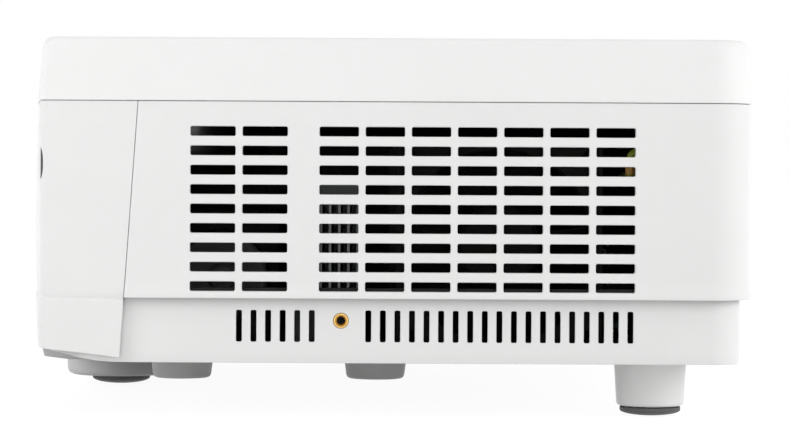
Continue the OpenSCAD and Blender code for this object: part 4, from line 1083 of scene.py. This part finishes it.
def make_power_supply():
    lo, hi = low("power_supply"), high("power_supply")
    top = lo.z + 5 + BOARD_T
    box_piece("supply_slab", [((lo.x, lo.y, top - BOARD_T), (hi.x, hi.y, top))], BOARD, "power_supply", width=0.12)
    bm = bmesh.new()
    for x in (lo.x + 5, hi.x - 5):
        for y in (lo.y + 5, hi.y - 4):
            lathe_into(bm, rod(3, lo.z, top - 1.5), (x, y, 0), 2, 24)
    add_mesh("supply_posts", bm, [BRASS])
    a, b = Vector((lo.x + 12, lo.y + 3, top - 0.1)), Vector((lo.x + 38, hi.y - 3, top + 21.8))
    box_piece("transformer_core", [(a, (b.x, b.y, a.z + 5)), ((a.x, a.y, b.z - 5), b), (a, (a.x + 4, b.y, b.z)),
                                   ((b.x - 4, a.y, a.z), b)], CHIP, width=0.3)
    box_piece("transformer_coil", [((a.x + 3, a.y + 0.4, a.z + 3), (b.x - 3, b.y - 0.4, b.z - 3))], TAPE, width=1.0)
    cans("supply_cans", [(hi.x - 7, hi.y - 7), (hi.x - 19, hi.y - 7)], top - 0.1, 5, 23.9)


def make_sockets():
    soften("video_sockets", 0.12)
    soften("data_sockets", 0.12)
    soften("rear_panel", 0.3)
    soften("power_inlet", 0.4)
    face = high("video_sockets").y
    tongues = bmesh.new()
    for x in (-86, -62):
        box_into(tongues, (x - 4.5, face - 12.5, 48.3), (x + 4.5, face - 2.2, 49.4))
    box_into(tongues, (-4.5, face - 12.5, 49.4), (4.5, face - 2.5, 50.9))
    for i in range(8):
        box_into(tongues, (19.4 + i * 1.25, face - 12.5, 56.0), (19.8 + i * 1.25, face - 6, 56.6))
    round_edges(add_mesh("socket_contacts", tongues, [GOLD]), 0.08)
    mid, back = middle("power_inlet"), high("power_inlet").y
    blades = []
    for i, rise in ((-1, 0), (0, 3), (1, 0)):
        x, z = mid.x + i * 7, mid.z + 3 + rise
        blades.append(((x - 1.05, back - 19, z - 2.05), (x + 1.05, back - 7.4, z + 2.05)))
    box_piece("inlet_blades", blades, STEEL, width=0.3)


def make_speaker():
    soften("speaker", 0.8, 3, MATT)
    _, y, z = middle("speaker")
    face = high("speaker").x
    cone = [(0, 1.6), (3.4, 2.0), (4.4, 3.2), (10.8, 0.9), (11.6, 0.3), (12.6, 0.1), (13.4, 0.8), (13.6, 3.8), (0, 3.8)]
    lathe("speaker_cone", [(r, face - depth) for r, depth in cone], (0, y, z), 0,
          RUBBER, count=64)


def make_lead():
    """The earth lead, with rounded bends and a short amber sleeve."""
    lo, hi = low("earth_lead"), high("earth_lead")
    r = 1.2
    x1, y0, y1, top = hi.x - r, lo.y + r, hi.y - r, hi.z - r
    start_x, inlet_x = high("power_supply").x - 3, middle("power_inlet").x
    corners = [Vector(c) for c in ((start_x, y0, lo.z), (start_x, y0, top - 7), (x1, y0, top - 7), (x1, y0, top),
                                   (x1, y1, top), (inlet_x, y1, top), (inlet_x, y1, high("power_inlet").z - 2))]
    path = [corners[0]]
    for before, corner, after in zip(corners, corners[1:], corners[2:]):
        reach = min(2.6, (corner - before).length / 2.2, (after - corner).length / 2.2)
        a = corner + (before - corner).normalized() * reach
        b = corner + (after - corner).normalized() * reach
        for t in (step / 6 for step in range(7)):
            path.append(a * (1 - t) ** 2 + corner * 2 * t * (1 - t) + b * t**2)
    path.append(corners[-1])
    bm = bmesh.new()
    tube_along(bm, path, r - 0.05)
    wire = add_mesh("earth_wire", bm, [LEAD, MATT], "earth_lead", smooth=60)
    # Below the sleeve the lead is drawn in matt black: painted shade low in the case.
    for face in wire.data.polygons:
        if face.center.z < (top - 8) * MM:
            face.material_index = 1
    bm = bmesh.new()
    tube_along(bm, [Vector((x1, y0, top - drop)) for drop in (6.6, 4.6, 2.8)], r + 0.25)
    add_mesh("wire_sleeve", bm, [AMBER], smooth=60)


# ---------------------------------------------------------------- keypad


def make_buttons():
    flange = CASE_TOP - WALL - SEAT
    for name in ROUND_BUTTONS:
        node = name + "_button"
        x, y, _ = middle(node)
        top = high(node).z
        profile = [(0, top - 0.35), (3.0, top - 0.25), (4.6, top - 0.08), (5.2, top), (5.7, top - 0.1),
                   (6.0, top - 0.5), (6.0, flange), (7.0, flange), (7.0, flange - 1.2), (2.0, flange - 1.2),
                   (2.0, low(node).z), (0, low(node).z)]
        lathe(node + "_cap", profile, (x, y, 0), 2, BUTTON, node, count=72)
    for name in ARROWS:
        soften(name + "_button", 0.4, 3)
    x, y, _ = middle("power_button")
    top = high("power_button").z
    mark = prism(arc(x, y, 2.5, 125, 415, 28) + arc(x, y, 1.95, 125, 415, 28)[::-1], 2, top - 0.4, top - 0.12)
    bar = [(x - 0.28, y + 0.6), (x + 0.28, y + 0.6), (x + 0.28, y + 3.0), (x - 0.28, y + 3.0)]
    prism_into(mark, bar, 2, top - 0.4, top - 0.12)
    add_mesh("power_mark", mark, [ICON], None, "power")
    for name, (dx, dy) in ARROWS.items():
        x, y, _ = middle(name + "_button")
        top = high(name + "_button").z
        tip, back, half = 1.4, 0.9, 1.6
        head = [(x + dx * tip, y + dy * tip), (x - dx * back - dy * half, y - dy * back + dx * half),
                (x - dx * back + dy * half, y - dy * back - dx * half)]
        add_mesh(name + "_mark", prism(head, 2, top - 0.1, top + 0.03), [ICON], None, name)


# ---------------------------------------------------------------- disc player


def make_drive():
    for node, width, segments in (("drive_case", 0.3, 2), ("disc_tray", 0.25, 2), ("tray_front", 0.6, 3),
                                  ("eject_button", 0.3, 2), ("tray_rails", 0.2, 2), ("spindle_motor", 0.2, 2),
                                  ("pickup", 0.25, 2)):
        soften(node, width, segments)
    x, y, _ = middle("disc_hub")
    base, top = low("disc_hub").z, high("disc_hub").z
    profile = [(1.55, base), (11.5, base), (11.5, base + 2.2), (11.3, base + 2.4), (7.4, base + 2.4), (7.4, top - 0.9),
               (6.6, top - 0.1), (4.2, top), (3.9, top - 0.3), (1.55, top - 0.3)]
    lathe("hub_clamp", profile, (x, y, 0), 2, BLACK, "disc_hub", count=72)
    pad = base + 2.3
    lathe("hub_ring", [(7.9, pad), (11.2, pad), (11.2, pad + 0.16), (7.9, pad + 0.16)], (x, y, 0), 2,
          RUBBER, None, "hub", 72)
    bm = bmesh.new()
    ball = [(max(0.0, a), b) for a, b in arc(0, top - 1.1, 0.62, -90, 90, 8)]
    for angle in (2 * math.pi * i / 3 for i in range(3)):
        lathe_into(bm, ball, (x + 6.75 * math.cos(angle), y + 6.75 * math.sin(angle), 0), 2, 20)
    add_mesh("hub_balls", bm, [STEEL], None, "hub")
    top = high("pickup").z
    eye = [(0, -0.25), (1.2, -0.2), (1.9, -0.32), (2.2, -0.4), (2.2, 0.05), (2.6, 0.08), (3.05, -0.1), (3.05, -1.2),
           (0, -1.2)]
    lathe("pickup_lens", [(r, top + rise) for r, rise in eye], (middle("pickup").x, middle("drive_case").y, 0), 2,
          WINDOW, None, "pickup", 48)
    _, y, z = middle("lead_screw")
    start, end = low("lead_screw").x, high("lead_screw").x
    bm = bmesh.new()
    thread_into(bm, (0, y, z), 0, 1.2, 0.28, 3.0, start + 8.5, end - 1.0, 24, 24)
    neck = [(0, start), (1.1, start), (1.2, start + 0.1), (1.2, start + 8.5), (0, start + 8.5)]
    lathe_into(bm, neck, (0, y, z), 0, 24)
    lathe_into(bm, rod(0.9, end - 1.0, end), (0, y, z), 0, 24)
    add_mesh("screw_thread", bm, [STEEL], "lead_screw", smooth=60)


def make_duct():
    """Dark sheets that close off the intake fan's duct and stand between the light engine and the side vent; their
    near-black is painted shade for what shows through the slots.
    """
    _, y, z = middle("intake_fan_frame")
    size = high("intake_fan_frame") - low("intake_fan_frame")
    sheets = (("intake_duct", rounded_rect(y, z, size.y + 4, size.z - 0.8, 3), low("intake_fan_frame").x - 12),
              ("vent_shade_sheet", rounded_rect(3, 56, 190, 70.8, 3), low("optical_engine").x - 4))
    for name, outline, x in sheets:
        # Both sheets take the near-black painted shade.
        round_edges(add_mesh(name, prism(outline, 0, x, x + 1.2), [INNER_SHADE]), 0.3)


make_top_cover()
make_side_case()
make_front_cover()
make_window()
make_bottom_case()
make_cover_posts()
make_feet()
make_fixings()
make_lens()
make_fan("intake")
make_fan("exhaust")
make_main_board()
make_keypad_board()
make_power_supply()
make_sockets()
make_lead()
make_speaker()
make_buttons()
make_drive()
make_duct()


# ---------------------------------------------------------------- camera, floor and light

CAMERA_DISTANCE = 860.0
CAMERA_Y, CAMERA_Z = 5.8, 70.9
MM_PER_PIXEL = 0.28725
IMAGE_W, IMAGE_H = 788, 448
HORIZON_ROW = 175
SENSOR = 36.0
ROLL = math.radians(0.3)

camera_data = bpy.data.cameras.new("camera")
camera_data.sensor_width = SENSOR
camera_data.lens = CAMERA_DISTANCE / MM_PER_PIXEL * SENSOR / IMAGE_W
camera_data.shift_y = -(IMAGE_H / 2 - HORIZON_ROW) / IMAGE_W
camera_data.clip_start = 0.01
camera = new_object("camera", camera_data)
camera.location = ((HALF_W + CAMERA_DISTANCE) * MM, CAMERA_Y * MM, CAMERA_Z * MM)
camera.rotation_euler = (Matrix.Rotation(math.radians(90), 4, "Z") @ Matrix.Rotation(math.radians(90), 4, "X")
                         @ Matrix.Rotation(ROLL, 4, "Z")).to_euler()
bpy.context.scene.camera = camera


def area_light(name, place, target, size, power, mirrored=True):
    """An area lamp, in metres and watts. One that is not mirrored leaves no streak on a gloss surface."""
    data = bpy.data.lights.new(name, "AREA")
    data.shape = "RECTANGLE"
    data.size, data.size_y = size
    data.energy = power
    lamp = new_object(name, data)
    lamp.location = place
    lamp.rotation_euler = (Vector(target) - Vector(place)).to_track_quat("-Z", "Y").to_euler()
    lamp.visible_glossy = mirrored


area_light("front_high", (2.6, 0.1, 1.5), (0, 0, 0.06), (2.4, 1.6), 2.5)
area_light("front_low", (3.0, -0.2, 0.30), (0, 0, 0.05), (3.0, 0.5), 4.9)
area_light("top_box", (0.2, 0.0, 2.2), (0, 0, 0.1), (2.2, 2.2), 6)
area_light("lens_side_box", (0.2, -2.4, 1.0), (0, 0, 0.06), (3.0, 1.4), 7)
area_light("near_lens", (0.52, -0.5, 0.28), (0.15, -0.03, 0.06), (0.4, 0.4), 1.38, mirrored=False)
area_light("near_rear", (0.52, 0.55, 0.28), (0.15, 0.03, 0.06), (0.4, 0.4), 0.8, mirrored=False)
area_light("rear_box", (0.5, 2.4, 0.7), (0, 0, 0.06), (1.2, 1.2), 24, mirrored=False)
area_light("left_box", (-2.2, -0.6, 1.3), (0, 0, 0.06), (1.6, 1.6), 9, mirrored=False)


def direct_rays(tree):
    """1 for rays of the camera, through glass and off gloss, which should meet the white background."""
    rays = tree.nodes.new("ShaderNodeLightPath").outputs
    direct = rays["Is Camera Ray"]
    for kind in ("Is Transmission Ray", "Is Glossy Ray"):
        either = tree.nodes.new("ShaderNodeMath")
        either.operation = "MAXIMUM"
        tree.links.new(direct, either.inputs[0])
        tree.links.new(rays[kind], either.inputs[1])
        direct = either.outputs[0]
    return direct


world = bpy.data.worlds.new("studio")
bpy.context.scene.world = world
world.use_nodes = True
tree = world.node_tree
tree.nodes.clear()
mix = tree.nodes.new("ShaderNodeMixShader")
tree.links.new(direct_rays(tree), mix.inputs[0])
for place, strength in ((1, 0.42), (2, 1.0)):
    background = tree.nodes.new("ShaderNodeBackground")
    background.inputs["Color"].default_value = (1, 1, 1, 1)
    background.inputs["Strength"].default_value = strength
    tree.links.new(background.outputs[0], mix.inputs[place])
out = tree.nodes.new("ShaderNodeOutputWorld")
tree.links.new(mix.outputs[0], out.inputs["Surface"])

FLOOR_HALF = 30.0
floor_mesh = bpy.data.meshes.new("floor")
floor_mesh.from_pydata([(x * FLOOR_HALF, y * FLOOR_HALF, 0) for x, y in ((-1, -1), (1, -1), (1, 1), (-1, 1))],
                       [], [(0, 1, 2, 3)])
floor = new_object("floor", floor_mesh)
floor_material = bpy.data.materials.new("floor_paint")
f = Nodes(floor_material)
direct = direct_rays(f.tree)
seen_by = f.add("MixRGB", {"Color1": (0.85, 0.85, 0.85, 1), "Color2": (0.13, 0.13, 0.13, 1)})
f.link(direct, seen_by.inputs["Fac"])
f.link(seen_by.outputs[0], f.bsdf.inputs["Base Color"])
f.set(Roughness=0.9, Specular_IOR_Level=0.1)
distance = f.add("VectorMath", operation="LENGTH")
f.link(f.coords, distance.inputs[0])
fade = f.add("MapRange", {"From Min": 0.4, "From Max": 1.4, "To Min": 0.93, "To Max": 1.1})
f.link(distance.outputs["Value"], fade.inputs["Value"])
amount = f.add("Math", operation="MULTIPLY")
f.link(direct, amount.inputs[0])
f.link(fade.outputs[0], amount.inputs[1])
glow = f.add("Emission", {"Color": (1, 1, 1, 1)})
f.link(amount.outputs[0], glow.inputs["Strength"])
both = f.add("AddShader")
f.link(f.bsdf.outputs[0], both.inputs[0])
f.link(glow.outputs[0], both.inputs[1])
f.link(both.outputs[0], f.output.inputs["Surface"])
floor_mesh.materials.append(floor_material)

bpy.context.scene.view_settings.view_transform = "Standard"
